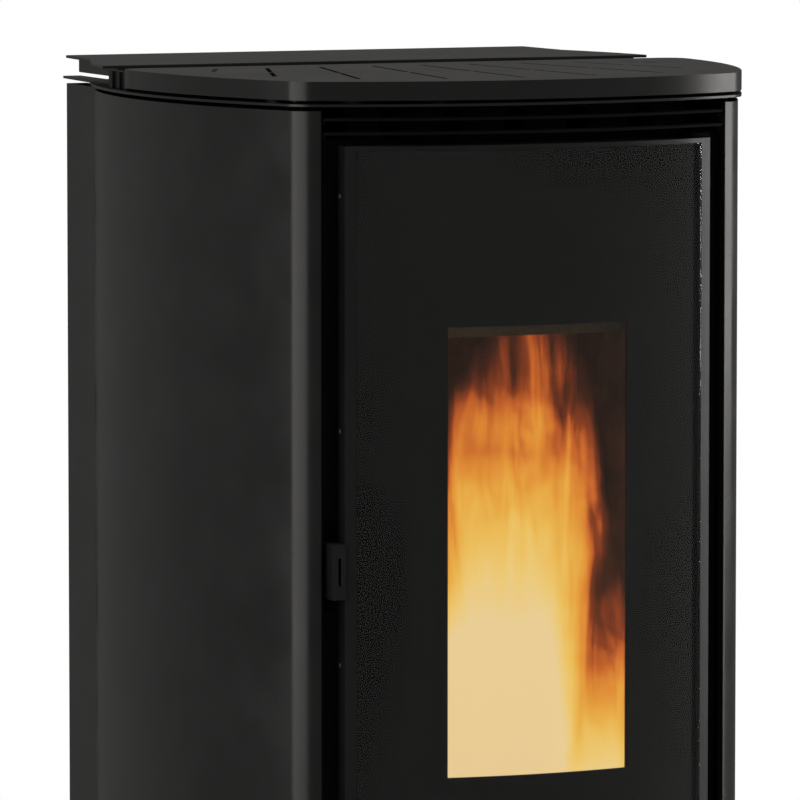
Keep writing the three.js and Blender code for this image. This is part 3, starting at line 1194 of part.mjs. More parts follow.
function mainsInlet() {
  const { x, z, halfX, halfZ, depth, socketX, socketHalfX, socketHalfZ, socketDepth, pin, pinPitch,
    pinLength } = INLET;
  const seatY = REAR.frontY + SHEET + GAP;
  const floorY = INLET_FACE - socketDepth;
  const inset = INLET.lip + GAP;
  let body = block(x - halfX, x + halfX, seatY, INLET_FACE, z - halfZ, z + halfZ);
  const innerX = halfX - inset;
  const innerZ = halfZ - inset;
  body = body.add(block(x - innerX, x + innerX, INLET_FACE - depth, seatY + BITE, z - innerZ, z + innerZ));
  body = body.subtract(block(x + socketX - socketHalfX, x + socketX + socketHalfX, floorY, INLET_FACE + CUT,
    z - socketHalfZ, z + socketHalfZ));
  for (const dx of [-pinPitch, 0, pinPitch]) {
    const px = x + socketX + dx;
    body = body.add(block(px - pin / 2, px + pin / 2, floorY - BITE, floorY + pinLength, z - pin, z + pin));
  }
  const r = ROCKER;
  const wellY = INLET_FACE - r.reach - r.clear * 2;
  const wellZ = r.reach + r.clear;
  body = body.subtract(block(x + r.x - r.halfX - GAP, x + r.x + r.halfX + GAP, wellY, INLET_FACE + CUT,
    z + r.z - wellZ, z + r.z + wellZ));
  const bore = rod(RESET.radius + GAP, [x + RESET.x, INLET_FACE - RESET.length - RESET.proud, z + RESET.z],
    [x + RESET.x, INLET_FACE + CUT, z + RESET.z], 14);
  return body.subtract(bore);
}

// The rocker is drawn level and tilted to its first stop about its own axle.
const rockerPivot = new THREE.Group();
rockerPivot.position.set(INLET.x + ROCKER.x, INLET_FACE - ROCKER.back, INLET.z + ROCKER.z);
rockerPivot.rotation.x = -THREE.MathUtils.degToRad(ROCKER.tilt);
stove.add(rockerPivot);

function powerRocker() {
  const { reach, back, front, edge, halfX } = ROCKER;
  return prismX([[-back, -reach], [edge, -reach], [front, 0], [edge, reach], [-back, reach]], -halfX, halfX);
}

function resetButton() {
  const x = INLET.x + RESET.x;
  const z = INLET.z + RESET.z;
  return rod(RESET.radius, [x, INLET_FACE - RESET.length + RESET.proud, z], [x, INLET_FACE + RESET.proud, z],
    14);
}

// ---------------------------------------------------------------- assembly

addPiece('base_plate', basePlate(), BLACK_STEEL);
const FOOT_NAMES = ['foot_front_left', 'foot_front_right', 'foot_rear_left', 'foot_rear_right'];
footPlaces().forEach(([x, y], i) => addPiece(FOOT_NAMES[i], foot(x, y), BARE_STEEL));
addPiece('chassis_side_left', chassisSide(-1), BLACK_TRIM);
addPiece('chassis_side_right', chassisSide(1), BLACK_TRIM);
addPiece('front_frame', frontFrame(), BLACK_TRIM);
addPiece('rear_panel', rearPanel(), BLACK_STEEL);

addPiece('side_panel_left', sidePanel(-1), BLACK_STEEL);
addPiece('side_panel_right', sidePanel(1), BLACK_STEEL);
addPiece('rear_strip_left', rearStrip(-1), BLACK_STEEL);
addPiece('rear_strip_right', rearStrip(1), BLACK_STEEL);
addPiece('top_plate', topPlate(), BLACK_STEEL);
addPiece('top_cover', topCover(), BLACK_STEEL);
for (let i = 0; i < SLAT.count; i += 1) {
  addPiece(`grille_slat_${i + 1}`, slat(i), BLACK_STEEL);
}

addPiece('door_frame', doorFrame(), BLACK_STEEL);
addPiece('door_glass', doorGlass(), BLACK_GLASS);
addPiece('door_gasket', doorGasket(), ROPE);
addPiece('door_hinge_top', doorHinge(false), BLACK_TRIM);
addPiece('door_hinge_bottom', doorHinge(true), BLACK_TRIM);
addPiece('door_latch', doorLatch(), BLACK_STEEL);

addPiece('drawer_front', drawerFront(), BLACK_STEEL);
addPiece('ash_drawer', ashDrawer(), GALVANISED);
addPiece('ash_box', ashBox(), GALVANISED);
addPiece('lower_panel', lowerPanel(), BLACK_STEEL);

addPiece('firebox', firebox(), CAST_IRON);
addPiece('firebrick', firebrick(), VERMICULITE);
addPiece('baffle', baffle(), VERMICULITE);
addPiece('pot_shelf', potShelf(), CAST_IRON);
addPiece('burner_pot', burnerPot(), CAST_IRON);
addPiece('igniter', igniter(), BARE_STEEL);
addPiece('heat_exchanger', heatExchanger(), BLACK_TRIM);
addPiece('air_duct', airDuct(), GALVANISED);

addPiece('auger_tube', augerTube(), GALVANISED, feed);
addPiece('auger_screw', augerScrew(), BARE_STEEL, feed);
addPiece('gear_motor', gearMotor(), BLACK_PLASTIC, feed);
addPiece('pellet_chute', chute(), GALVANISED);
addPiece('hopper', hopper(), GALVANISED);
addPiece('hopper_grate', hopperGrate(), GALVANISED);
addPiece('hopper_lid', hopperLid(), BLACK_STEEL);
addPiece('lid_hinge_left', lidHinge(-1), BARE_STEEL);
addPiece('lid_hinge_right', lidHinge(1), BARE_STEEL);
addPiece('control_console', controlConsole(), BLACK_PLASTIC);
buttonPlaces().forEach((x, i) => addPiece(`control_button_${i + 1}`, button(x), GREY_PLASTIC));

addPiece('smoke_fan_housing', smokeFanHousing(), CAST_IRON);
addPiece('smoke_fan_impeller', smokeImpeller(), BARE_STEEL);
addPiece('smoke_fan_motor', smokeMotor(), BARE_STEEL);
addPiece('flue_outlet', flueOutlet(), BLACK_STEEL);
addPiece('air_inlet_pipe', airInlet(), GALVANISED);
addPiece('room_fan_housing', roomFanHousing(), GALVANISED);
addPiece('room_fan_rotor', roomFanRotor(), BARE_STEEL);
addPiece('room_fan_motor', roomMotor(), BLACK_PLASTIC);

addPiece('control_board', controlBoard(), BOARD_GREEN);
addPiece('mains_inlet', mainsInlet(), BLACK_PLASTIC);
addPiece('power_rocker', powerRocker(), BLACK_PLASTIC, rockerPivot);
addPiece('reset_button', resetButton(), GREY_PLASTIC);

export default stove;
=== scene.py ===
"""The looks of a free-standing pellet stove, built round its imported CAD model. Metres, +Z up, front to -Y."""

import math
import random

import bmesh
import bpy
from mathutils import Matrix, Vector

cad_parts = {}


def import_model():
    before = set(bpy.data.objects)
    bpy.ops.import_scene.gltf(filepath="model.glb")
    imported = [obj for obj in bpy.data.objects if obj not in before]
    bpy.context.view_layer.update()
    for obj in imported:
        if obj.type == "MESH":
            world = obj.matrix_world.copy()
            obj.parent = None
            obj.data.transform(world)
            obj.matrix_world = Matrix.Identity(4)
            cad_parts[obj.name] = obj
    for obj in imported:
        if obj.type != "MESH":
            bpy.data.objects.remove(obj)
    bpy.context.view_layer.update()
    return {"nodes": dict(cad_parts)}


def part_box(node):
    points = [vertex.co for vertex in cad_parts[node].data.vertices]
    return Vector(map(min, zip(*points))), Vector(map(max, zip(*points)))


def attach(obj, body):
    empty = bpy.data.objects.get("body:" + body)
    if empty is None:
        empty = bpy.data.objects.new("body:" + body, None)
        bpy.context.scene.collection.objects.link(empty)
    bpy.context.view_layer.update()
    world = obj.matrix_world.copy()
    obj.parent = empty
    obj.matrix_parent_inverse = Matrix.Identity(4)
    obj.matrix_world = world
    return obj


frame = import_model()
NODES = frame["nodes"]
MM = 0.001

# ------------------------------------------------------------------ places, from the frame

GLASS_LOW, GLASS_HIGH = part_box("door_glass")
DOOR_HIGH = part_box("door_frame")[1]
PLATE_LOW, PLATE_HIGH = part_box("top_plate")
HOPPER_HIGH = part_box("hopper")[1]
REAR_LOW, REAR_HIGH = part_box("rear_panel")
POT_LOW, POT_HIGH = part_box("burner_pot")
SHELF_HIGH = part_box("pot_shelf")[1]

# The bowed front and the glass in it.
FRONT_RADIUS = 450 * MM
FRONT_CENTRE_Y = PLATE_LOW.y + FRONT_RADIUS
GLASS_INSET = 2 * MM
GLASS_THICK = 5 * MM

# The clear window in the black print.
WINDOW_HALF_X = 80 * MM
WINDOW_LOW_Z = 487 * MM
WINDOW_HIGH_Z = 859 * MM

# Edges that turn by more than this stay sharp.
SHARP_EDGE = math.radians(34)

# ------------------------------------------------------------------ material helpers


def node(tree, kind, inputs=None, **settings):
    """A shader node with its settings and inputs; an input is a value or a socket."""
    made = tree.nodes.new("ShaderNode" + kind)
    for key, value in settings.items():
        setattr(made, key, value)
    for key, value in (inputs or {}).items():
        if isinstance(value, bpy.types.NodeSocket):
            tree.links.new(value, made.inputs[key])
        else:
            made.inputs[key].default_value = value
    return made


def new_material(name):
    """A material with its tree, its output and the object's own coordinates."""
    made = bpy.data.materials.new(name)
    made.use_nodes = True
    made.node_tree.nodes.clear()
    tree = made.node_tree
    output = node(tree, "OutputMaterial")
    place = node(tree, "TexCoord").outputs["Object"]
    return made, tree, output, place


def grains(tree, place, scale, detail=3.0, roughness=0.6):
    """Noise of a scale in grains per metre."""
    inputs = {"Vector": place, "Scale": scale, "Detail": detail, "Roughness": roughness}
    return node(tree, "TexNoise", inputs).outputs["Fac"]


def ranged(tree, factor, low, high, from_low=0.3, from_high=0.7):
    """A factor between from_low and from_high, carried over to low and high."""
    inputs = {"Value": factor, "From Min": from_low, "From Max": from_high, "To Min": low, "To Max": high}
    return node(tree, "MapRange", inputs).outputs["Result"]


def blended(tree, factor, first, second):
    """first where factor is 0, second where it is 1; each is a colour or a socket."""
    made = node(tree, "Mix", {"Factor": factor}, data_type="RGBA")
    for socket, value in ((made.inputs[6], first), (made.inputs[7], second)):
        if isinstance(value, bpy.types.NodeSocket):
            tree.links.new(value, socket)
        else:
            socket.default_value = (*value, 1)
    return made.outputs[2]


def bumped(tree, heights):
    """A normal from several (height socket, distance in metres) layers."""
    normal = None
    for height, distance in heights:
        inputs = {"Height": height, "Distance": distance, "Strength": 1.0}
        if normal is not None:
            inputs["Normal"] = normal
        normal = node(tree, "Bump", inputs).outputs["Normal"]
    return normal


def shade(colour, factor):
    return tuple(channel * factor for channel in colour)


GLOSS_STEEPNESS = 1.8
GLOSS_COLOUR = (1, 0.98, 0.96, 1)
SPECKLE = 0.35 * MM
GLASS_IOR = 1.15


def sheen_over(tree, base, gloss_facing, gloss_grazing, roughness, normal):
    """A matt shader under a weak gloss that grows from facing to grazing, as on a satin powder coat."""
    facing = node(tree, "LayerWeight", {"Blend": 0.5}).outputs["Facing"]
    steep = node(tree, "Math", {0: facing, 1: GLOSS_STEEPNESS}, operation="POWER").outputs[0]
    gloss = node(tree, "BsdfGlossy", {"Color": GLOSS_COLOUR, "Roughness": roughness, "Normal": normal})
    share = ranged(tree, steep, gloss_facing, gloss_grazing, 0, 1)
    return node(tree, "MixShader", {0: share, 1: base.outputs[0], 2: gloss.outputs[0]})


def paint(name, colour, roughness, facing=0.0025, grazing=0.0475, grain=0.9 * MM, depth=0.02 * MM, sway=0.12):
    """Powder-coated metal: an even colour with a fine orange peel and slow changes of sheen.

    facing and grazing are the gloss straight on and at the edge, grain and depth the size of the orange
    peel, and sway the change of colour.
    """
    made, tree, output, place = new_material(name)
    slow = grains(tree, place, scale=14.0, detail=2.0)
    fine = grains(tree, place, scale=1 / grain, detail=2.0, roughness=0.5)
    dust = grains(tree, place, scale=1 / SPECKLE, detail=1.0, roughness=0.5)
    tint = blended(tree, ranged(tree, slow, 0, 1), shade(colour, 1 - sway), shade(colour, 1 + sway))
    tint = blended(tree, ranged(tree, dust, 0, 0.25, from_low=0.55, from_high=0.8), tint, shade(colour, 1.9))
    sheen = ranged(tree, slow, roughness - 0.04, roughness + 0.04)
    normal = bumped(tree, [(fine, depth), (dust, depth * 0.4)])
    base = node(tree, "BsdfPrincipled", {
        "Base Color": tint,
        "Roughness": sheen,
        "Specular IOR Level": 0.0,
        "Normal": normal,
    })
    shader = sheen_over(tree, base, facing, grazing, sheen, normal)
    tree.links.new(shader.outputs[0], output.inputs["Surface"])
    return made


def bare_metal(name, colour, roughness, streak=(40.0, 40.0, 900.0), depth=0.01 * MM):
    """Metal with fine streaks along one way and a faint bloom."""
    made, tree, output, place = new_material(name)
    stretched = node(tree, "Mapping", {"Vector": place, "Scale": streak}).outputs["Vector"]
    streaks = grains(tree, stretched, scale=1.0, detail=4.0)
    bloom = grains(tree, place, scale=30.0, detail=4.0)
    tint = blended(tree, ranged(tree, bloom, 0, 1), shade(colour, 0.8), colour)
    shader = node(tree, "BsdfPrincipled", {
        "Base Color": tint,
        "Metallic": 1.0,
        "Roughness": ranged(tree, streaks, roughness - 0.08, roughness + 0.12),
        "Normal": bumped(tree, [(streaks, depth)]),
    })
    tree.links.new(shader.outputs[0], output.inputs["Surface"])
    return made


def zinc_sheet(name):
    """Galvanised sheet with its crystal spangle."""
    made, tree, output, place = new_material(name)
    cells = node(tree, "TexVoronoi", {"Vector": place, "Scale": 70.0, "Randomness": 1.0})
    cloud = grains(tree, place, scale=120.0, detail=4.0)
    spangle = node(tree, "SeparateColor", {"Color": cells.outputs["Color"]}).outputs["Red"]
    tint = blended(tree, spangle, (0.30, 0.31, 0.32), (0.46, 0.47, 0.48))
    tint = blended(tree, ranged(tree, cloud, 0, 0.4), tint, (0.36, 0.36, 0.36))
    shader = node(tree, "BsdfPrincipled", {
        "Base Color": tint,
        "Metallic": 1.0,
        "Roughness": ranged(tree, spangle, 0.38, 0.55, 0, 1),
        "Normal": bumped(tree, [(cloud, 0.01 * MM)]),
    })
    tree.links.new(shader.outputs[0], output.inputs["Surface"])
    return made


def cast_iron(name, colour=(0.03, 0.027, 0.025)):
    """Sand-cast iron, pitted and sooty."""
    made, tree, output, place = new_material(name)
    sand = grains(tree, place, scale=700.0, detail=5.0, roughness=0.7)
    soot = grains(tree, place, scale=22.0, detail=5.0, roughness=0.65)
    tint = blended(tree, ranged(tree, soot, 0, 1), shade(colour, 0.45), shade(colour, 1.8))
    shader = node(tree, "BsdfPrincipled", {
        "Base Color": tint,
        "Metallic": 0.35,
        "Roughness": ranged(tree, soot, 0.65, 0.85),
        "Normal": bumped(tree, [(sand, 0.12 * MM), (soot, 0.5 * MM)]),
    })
    tree.links.new(shader.outputs[0], output.inputs["Surface"])
    return made


def vermiculite(name):
    """Pressed board of golden flakes, smoked darker in patches."""
    made, tree, output, place = new_material(name)
    flakes = node(tree, "TexVoronoi", {"Vector": place, "Scale": 420.0, "Randomness": 1.0})
    flake = node(tree, "SeparateColor", {"Color": flakes.outputs["Color"]}).outputs["Green"]
    smoke = grains(tree, place, scale=16.0, detail=4.0)
    tint = blended(tree, flake, (0.10, 0.068, 0.036), (0.17, 0.12, 0.062))
    tint = blended(tree, ranged(tree, smoke, 0.15, 0.75), tint, (0.03, 0.02, 0.012))
    shader = node(tree, "BsdfPrincipled", {
        "Base Color": tint,
        "Roughness": 0.92,
        "Specular IOR Level": 0.2,
        "Normal": bumped(tree, [(flakes.outputs["Distance"], 0.3 * MM), (smoke, 0.4 * MM)]),
    })
    tree.links.new(shader.outputs[0], output.inputs["Surface"])
    return made


STRAND_ANGLE = math.radians(35)


def braided_rope(name):
    """Glass-fibre rope: crossing strands along the seal."""
    made, tree, output, place = new_material(name)
    heights = []
    for turn in (STRAND_ANGLE, -STRAND_ANGLE):
        turned = node(tree, "Mapping", {"Vector": place, "Rotation": (0, turn, 0)}).outputs["Vector"]
        inputs = {"Vector": turned, "Scale": 140.0, "Distortion": 0.4}
        wave = node(tree, "TexWave", inputs, bands_direction="X")
        heights.append((wave.outputs["Fac"], 0.5 * MM))
    fibre = grains(tree, place, scale=1500.0)
    shader = node(tree, "BsdfPrincipled", {
        "Base Color": blended(tree, fibre, (0.06, 0.055, 0.05), (0.2, 0.19, 0.17)),
        "Roughness": 0.95,
        "Sheen Weight": 0.3,
        "Normal": bumped(tree, heights),
    })
    tree.links.new(shader.outputs[0], output.inputs["Surface"])
    return made


def moulded(name, colour, roughness, grain=0.45 * MM):
    """Moulded plastic or rubber with a spark-eroded grain."""
    made, tree, output, place = new_material(name)
    leather = node(tree, "TexVoronoi", {"Vector": place, "Scale": 1 / grain}).outputs["Distance"]
    haze = grains(tree, place, scale=60.0)
    shader = node(tree, "BsdfPrincipled", {
        "Base Color": blended(tree, ranged(tree, haze, 0, 1), shade(colour, 0.85), shade(colour, 1.15)),
        "Roughness": ranged(tree, haze, roughness - 0.05, roughness + 0.07),
        "Normal": bumped(tree, [(leather, 0.02 * MM)]),
    })
    tree.links.new(shader.outputs[0], output.inputs["Surface"])
    return made


def circuit_board(name):
    """Green solder mask over straight copper tracks."""
    made, tree, output, place = new_material(name)
    turned = node(tree, "Mapping", {"Vector": place, "Rotation": (0, math.pi / 2, 0)}).outputs["Vector"]
    bricks = node(tree, "TexBrick", {"Vector": turned, "Scale": 90.0, "Mortar Size": 0.03})
    tracks = bricks.outputs["Fac"]
    tint = blended(tree, tracks, (0.012, 0.09, 0.035), (0.03, 0.2, 0.08))
    shader = node(tree, "BsdfPrincipled", {
        "Base Color": tint,
        "Roughness": ranged(tree, grains(tree, place, scale=200.0), 0.3, 0.45),
        "Normal": bumped(tree, [(tracks, 0.05 * MM)]),
    })
    tree.links.new(shader.outputs[0], output.inputs["Surface"])
    return made


def clear_glass(name):
    """Clear ceramic glass: what lies behind shows through, under a faint reflection."""
    made, tree, output, place = new_material(name)
    smear = grains(tree, place, scale=9.0)
    through = node(tree, "BsdfTransparent", {"Color": (0.93, 0.92, 0.90, 1)})
    polish = ranged(tree, smear, 0.03, 0.07)
    gloss = node(tree, "BsdfGlossy", {"Color": (1, 1, 1, 1), "Roughness": polish})
    fresnel = node(tree, "Fresnel", {"IOR": GLASS_IOR})
    mixed = node(tree, "MixShader", {0: fresnel.outputs[0], 1: through.outputs[0], 2: gloss.outputs[0]})
    tree.links.new(mixed.outputs[0], output.inputs["Surface"])
    return made


def enamel(name):
    """The black print fired on the back of the glass, dense with a hint of dots."""
    made, tree, output, place = new_material(name)
    dots = node(tree, "TexVoronoi", {"Vector": place, "Scale": 900.0, "Randomness": 0.0}).outputs["Distance"]
    cloud = grains(tree, place, scale=6.0, detail=2.0)
    tint = blended(tree, ranged(tree, cloud, 0, 1), (0.0040, 0.0040, 0.0042), (0.0060, 0.0060, 0.0062))
    dotted = ranged(tree, dots, 0.15, 0, from_low=0.1, from_high=0.5)
    tint = blended(tree, dotted, tint, (0.009, 0.009, 0.009))
    shader = node(tree, "BsdfPrincipled", {
        "Base Color": tint,
        "Roughness": 0.8,
        "Specular IOR Level": 0.0,
        "Normal": bumped(tree, [(dots, 0.005 * MM)]),
    })
    tree.links.new(shader.outputs[0], output.inputs["Surface"])
    return made


BLACK = (0.0090, 0.0087, 0.0085)
# A black darker than the casing's: partly real black paint, partly painted shade for the parts that sit in the
# dark gaps and the cavity round the door.
GAP_SHADE_BLACK = (0.0022, 0.0022, 0.0022)

MATERIALS = {
    "casing": paint("casing_paint", BLACK, 0.24),
    # The door's paint is the casing's black at half its colour, a painted shade on the door's front and its
    # screws; its gloss is its own.
    "door": paint("door_paint_with_shade", shade(BLACK, 0.5), 0.32, facing=0.0055, grazing=0.036, grain=0.7 * MM),
    "console": paint("console_plastic", shade(BLACK, 0.55), 0.5, facing=0.001, grazing=0.02, grain=0.4 * MM),
    # Black paint with almost no gloss, darkened as painted shade so that the chassis, frame, slats, heat
    # exchanger and hinges stay black in their gaps.
    "black_gap_shade": paint("black_paint_gap_shade", GAP_SHADE_BLACK, 0.7, facing=0.0008, grazing=0.004),
    "iron": cast_iron("cast_iron"),
    # The firebox's iron: a warm brown of heat-tanned iron, brightened as a painted glow of the fire on it.
    "fire_lit_iron": cast_iron("tanned_and_fire_lit_iron", (0.16, 0.098, 0.066)),
    "steel": bare_metal("bare_steel", (0.45, 0.45, 0.46), 0.32),
    "can": bare_metal("motor_can", (0.38, 0.38, 0.39), 0.4, streak=(300.0, 30.0, 300.0)),
    "hot_steel": bare_metal("scaled_steel", (0.05, 0.045, 0.04), 0.55),
    "zinc": zinc_sheet("zinc_sheet"),
    "glass": clear_glass("ceramic_glass"),
    "enamel": enamel("black_enamel"),
    "vermiculite": vermiculite("vermiculite"),
    "rope": braided_rope("rope"),
    "plastic": moulded("black_plastic", (0.012, 0.012, 0.013), 0.5),
    "grey": moulded("grey_plastic", (0.13, 0.135, 0.14), 0.5),
    "board": circuit_board("circuit_board"),
    "rubber": moulded("rubber", (0.014, 0.014, 0.014), 0.8, grain=0.8 * MM),
}

NODE_FINISH = {
    "casing": [
        "base_plate", "rear_panel", "side_panel_left", "side_panel_right",
        "rear_strip_left", "rear_strip_right", "top_plate", "top_cover", "hopper_lid",
        "drawer_front", "lower_panel", "flue_outlet",
    ],
    # The door pieces take the door paint, darkened as painted shade.
    "door": ["door_frame", "door_latch"],
    "console": ["control_console"],
    # These pieces sit in gaps and behind the door; their black paint carries painted shade.
    "black_gap_shade": [
        "chassis_side_left", "chassis_side_right", "front_frame", "heat_exchanger",
        "grille_slat_1", "grille_slat_2", "door_hinge_top", "door_hinge_bottom",
    ],
    "iron": ["pot_shelf", "burner_pot", "smoke_fan_housing"],
    # The firebox takes the warm brown with the fire's painted glow.
    "fire_lit_iron": ["firebox"],
    "steel": [
        "foot_front_left", "foot_front_right", "foot_rear_left", "foot_rear_right",
        "auger_screw", "lid_hinge_left", "lid_hinge_right",
        "smoke_fan_impeller", "room_fan_rotor",
    ],
    "hot_steel": ["igniter"],
    "can": ["smoke_fan_motor"],
    "zinc": [
        "ash_drawer", "ash_box", "air_duct", "auger_tube", "pellet_chute",
        "hopper", "hopper_grate", "air_inlet_pipe", "room_fan_housing",
    ],
    "glass": ["door_glass"],
    "vermiculite": ["firebrick", "baffle"],
    "rope": ["door_gasket"],
    "plastic": ["gear_motor", "room_fan_motor", "mains_inlet", "power_rocker"],
    "grey": ["control_button_1", "control_button_2", "control_button_3", "reset_button"],
    "board": ["control_board"],
}

# ------------------------------------------------------------------ finishing the CAD pieces


def smoothing():
    """A modifier's node group: faces smooth, edges sharper than the limit sharp."""
    group = bpy.data.node_groups.new("smooth_shading", "GeometryNodeTree")
    group.interface.new_socket("Geometry", in_out="INPUT", socket_type="NodeSocketGeometry")
    group.interface.new_socket("Geometry", in_out="OUTPUT", socket_type="NodeSocketGeometry")
    entry = group.nodes.new("NodeGroupInput")
    leave = group.nodes.new("NodeGroupOutput")
    faces = group.nodes.new("GeometryNodeSetShadeSmooth")
    edges = group.nodes.new("GeometryNodeSetShadeSmooth")
    edges.domain = "EDGE"
    edges.inputs["Shade Smooth"].default_value = False
    angle = group.nodes.new("GeometryNodeInputMeshEdgeAngle")
    sharp = group.nodes.new("FunctionNodeCompare")
    sharp.inputs[1].default_value = SHARP_EDGE
    group.links.new(angle.outputs[0], sharp.inputs[0])
    group.links.new(entry.outputs[0], faces.inputs["Geometry"])
    group.links.new(faces.outputs[0], edges.inputs["Geometry"])
    group.links.new(sharp.outputs[0], edges.inputs["Selection"])
    group.links.new(edges.outputs[0], leave.inputs[0])
    return group


SMOOTHING = smoothing()

# How far each piece's edges are rounded, in millimetres.
EDGE_RADIUS = {
    "top_cover": 1.6, "hopper_lid": 0.8, "door_frame": 2.4, "door_glass": 0.5, "door_latch": 0.8,
    "side_panel_left": 0.7, "side_panel_right": 0.7, "control_console": 0.8, "drawer_front": 1.0,
    "lower_panel": 1.0, "burner_pot": 1.2, "firebox": 1.2,
}
USUAL_EDGE = 0.3


def soften(obj, radius):
    """Rounds the edges of a piece and smooths its bowed faces."""
    weld = obj.modifiers.new("weld", "WELD")
    weld.merge_threshold = 0.01 * MM
    flat = obj.modifiers.new("flat", "DECIMATE")
    flat.decimate_type = "DISSOLVE"
    flat.angle_limit = math.radians(0.2)
    edge = obj.modifiers.new("edge", "BEVEL")
    edge.width = radius
    edge.segments = 2
    edge.limit_method = "ANGLE"
    edge.angle_limit = SHARP_EDGE
    edge.use_clamp_overlap = True
    smooth = obj.modifiers.new("smooth", "NODES")
    smooth.node_group = SMOOTHING
    weighted = obj.modifiers.new("weighted", "WEIGHTED_NORMAL")
    weighted.keep_sharp = True


def dress_frame():
    """Gives each CAD piece its material and its soft edges."""
    for finish, names in NODE_FINISH.items():
        for name in names:
            obj = NODES[name]
            obj.data.materials.clear()
            obj.data.materials.append(MATERIALS[finish])
            soften(obj, EDGE_RADIUS.get(name, USUAL_EDGE) * MM)


dress_frame()

# ------------------------------------------------------------------ pieces of mesh code


def piece(name, mesh_builder, material, body):
    """A mesh made by mesh_builder(bmesh), riding on a body."""
    mesh = bpy.data.meshes.new(name)
    built = bmesh.new()
    mesh_builder(built)
    bmesh.ops.recalc_face_normals(built, faces=built.faces)
    built.to_mesh(mesh)
    built.free()
    mesh.polygons.foreach_set("use_smooth", [True] * len(mesh.polygons))
    mesh.set_sharp_from_angle(angle=SHARP_EDGE)
    mesh.materials.append(material)
    obj = bpy.data.objects.new(name, mesh)
    bpy.context.scene.collection.objects.link(obj)
    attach(obj, body)


LOBES = 6
LOBE_DEPTH = 0.2


def lathe(built, profile, turn, segments, lobes=None):
    """A [radius, height] profile turned about +Z and placed by turn, lobed from the ring numbered lobes."""
    rings = []
    for index, (radius, height) in enumerate(profile):
        if radius == 0:
            rings.append([built.verts.new(turn @ Vector((0, 0, height)))])
            continue
        ring = []
        for step in range(segments):
            angle = 2 * math.pi * step / segments
            reach = radius
            if lobes and index >= lobes:
                reach = radius * (1 - LOBE_DEPTH + LOBE_DEPTH * math.cos(LOBES * angle))
            at = Vector((reach * math.cos(angle), reach * math.sin(angle), height))
            ring.append(built.verts.new(turn @ at))
        rings.append(ring)
    for near, far in zip(rings, rings[1:]):
        for step in range(segments):
            after = (step + 1) % segments
            if len(near) == 1:
                built.faces.new([near[0], far[step], far[after]])
            elif len(far) == 1:
                built.faces.new([near[step], far[0], near[after]])
            else:
                built.faces.new([near[step], far[step], far[after], near[after]])


def facing(at, normal):
    """A placement at a point, with +Z turned to the normal."""
    return Matrix.Translation(at) @ Vector(normal).to_track_quat("Z", "Y").to_matrix().to_4x4()


# A screw's [radius, height] profile in parts of its radius, and the first ring of its recess.
SCREW_PROFILE = [(0, 0), (1.0, 0), (1.0, 0.28), (0.86, 0.5), (0.6, 0.62), (0.45, 0.62), (0.40, 0.3), (0, 0.3)]
SCREW_RECESS = 5
SCREW_SIDES = 24


def screw(name, at, normal, radius, body="stove", material="steel"):
    """A button-head screw with a six-lobe recess, its head standing on the surface at the point."""
    profile = [(r * radius, h * radius) for r, h in SCREW_PROFILE]
    turn = facing(at, normal)

    def build(built):
        lathe(built, profile, turn, SCREW_SIDES, SCREW_RECESS)

    piece(name, build, MATERIALS[material], body)


# ------------------------------------------------------------------ door: print, screws


PRINT_THICK = 0.15 * MM
PRINT_CLEAR = 0.08 * MM
PRINT_MARGIN = 0.5 * MM
COLUMN_PITCH = 0.1 * MM


def bowed_grid(built, face_y, columns, rows, hole):
    """A bowed sheet between column and row lines, with an opening left where hole(x, z) is true."""
    layers = []
    for depth in (0, PRINT_THICK):
        layers.append([[built.verts.new((x, face_y(x) + depth, z)) for x in columns] for z in rows])
    kept = set()
    for j in range(len(rows) - 1):
        for i in range(len(columns) - 1):
            middle = ((columns[i] + columns[i + 1]) / 2, (rows[j] + rows[j + 1]) / 2)
            if not hole(*middle):
                kept.add((i, j))
    for i, j in kept:
        corners = [(i, j), (i + 1, j), (i + 1, j + 1), (i, j + 1)]
        built.faces.new([layers[0][b][a] for a, b in corners])
        built.faces.new([layers[1][b][a] for a, b in reversed(corners)])
        sides = [((i, j), (i + 1, j), (i, j - 1)), ((i + 1, j), (i + 1, j + 1), (i + 1, j)),
                 ((i + 1, j + 1), (i, j + 1), (i, j + 1)), ((i, j + 1), (i, j), (i - 1, j))]
        for (a, b), (c, d), beyond in sides:
            if beyond not in kept:
                built.faces.new([layers[0][d][c], layers[0][b][a], layers[1][b][a], layers[1][d][c]])


def steps(low, high, count):
    """Even steps from low to high, both included."""
    return [low + (high - low) * i / count for i in range(count + 1)]


def in_window(x, z):
    return abs(x) < WINDOW_HALF_X and WINDOW_LOW_Z < z < WINDOW_HIGH_Z


def glass_back():
    """The [x, y] corners of the glass's back face, from its own mesh, by x."""
    turned = NODES["door_glass"].matrix_world
    corners = [turned @ vertex.co for vertex in NODES["door_glass"].data.vertices]
    deepest = {}
    for corner in corners:
        column = round(corner.x / COLUMN_PITCH)
        if column not in deepest or corner.y > deepest[column][1]:
            deepest[column] = (corner.x, corner.y)
    radius = FRONT_RADIUS - GLASS_INSET - GLASS_THICK
    return sorted(at for at in deepest.values()
                  if abs(math.hypot(at[0], FRONT_CENTRE_Y - at[1]) - radius) < 0.5 * MM)


def back_y(corners, x):
    """The y of the glass's back face at x, straight between its corners."""
    for (x0, y0), (x1, y1) in zip(corners, corners[1:]):
        if x0 <= x <= x1:
            return y0 + (y1 - y0) * (x - x0) / (x1 - x0)
    return corners[0][1] if x < corners[0][0] else corners[-1][1]


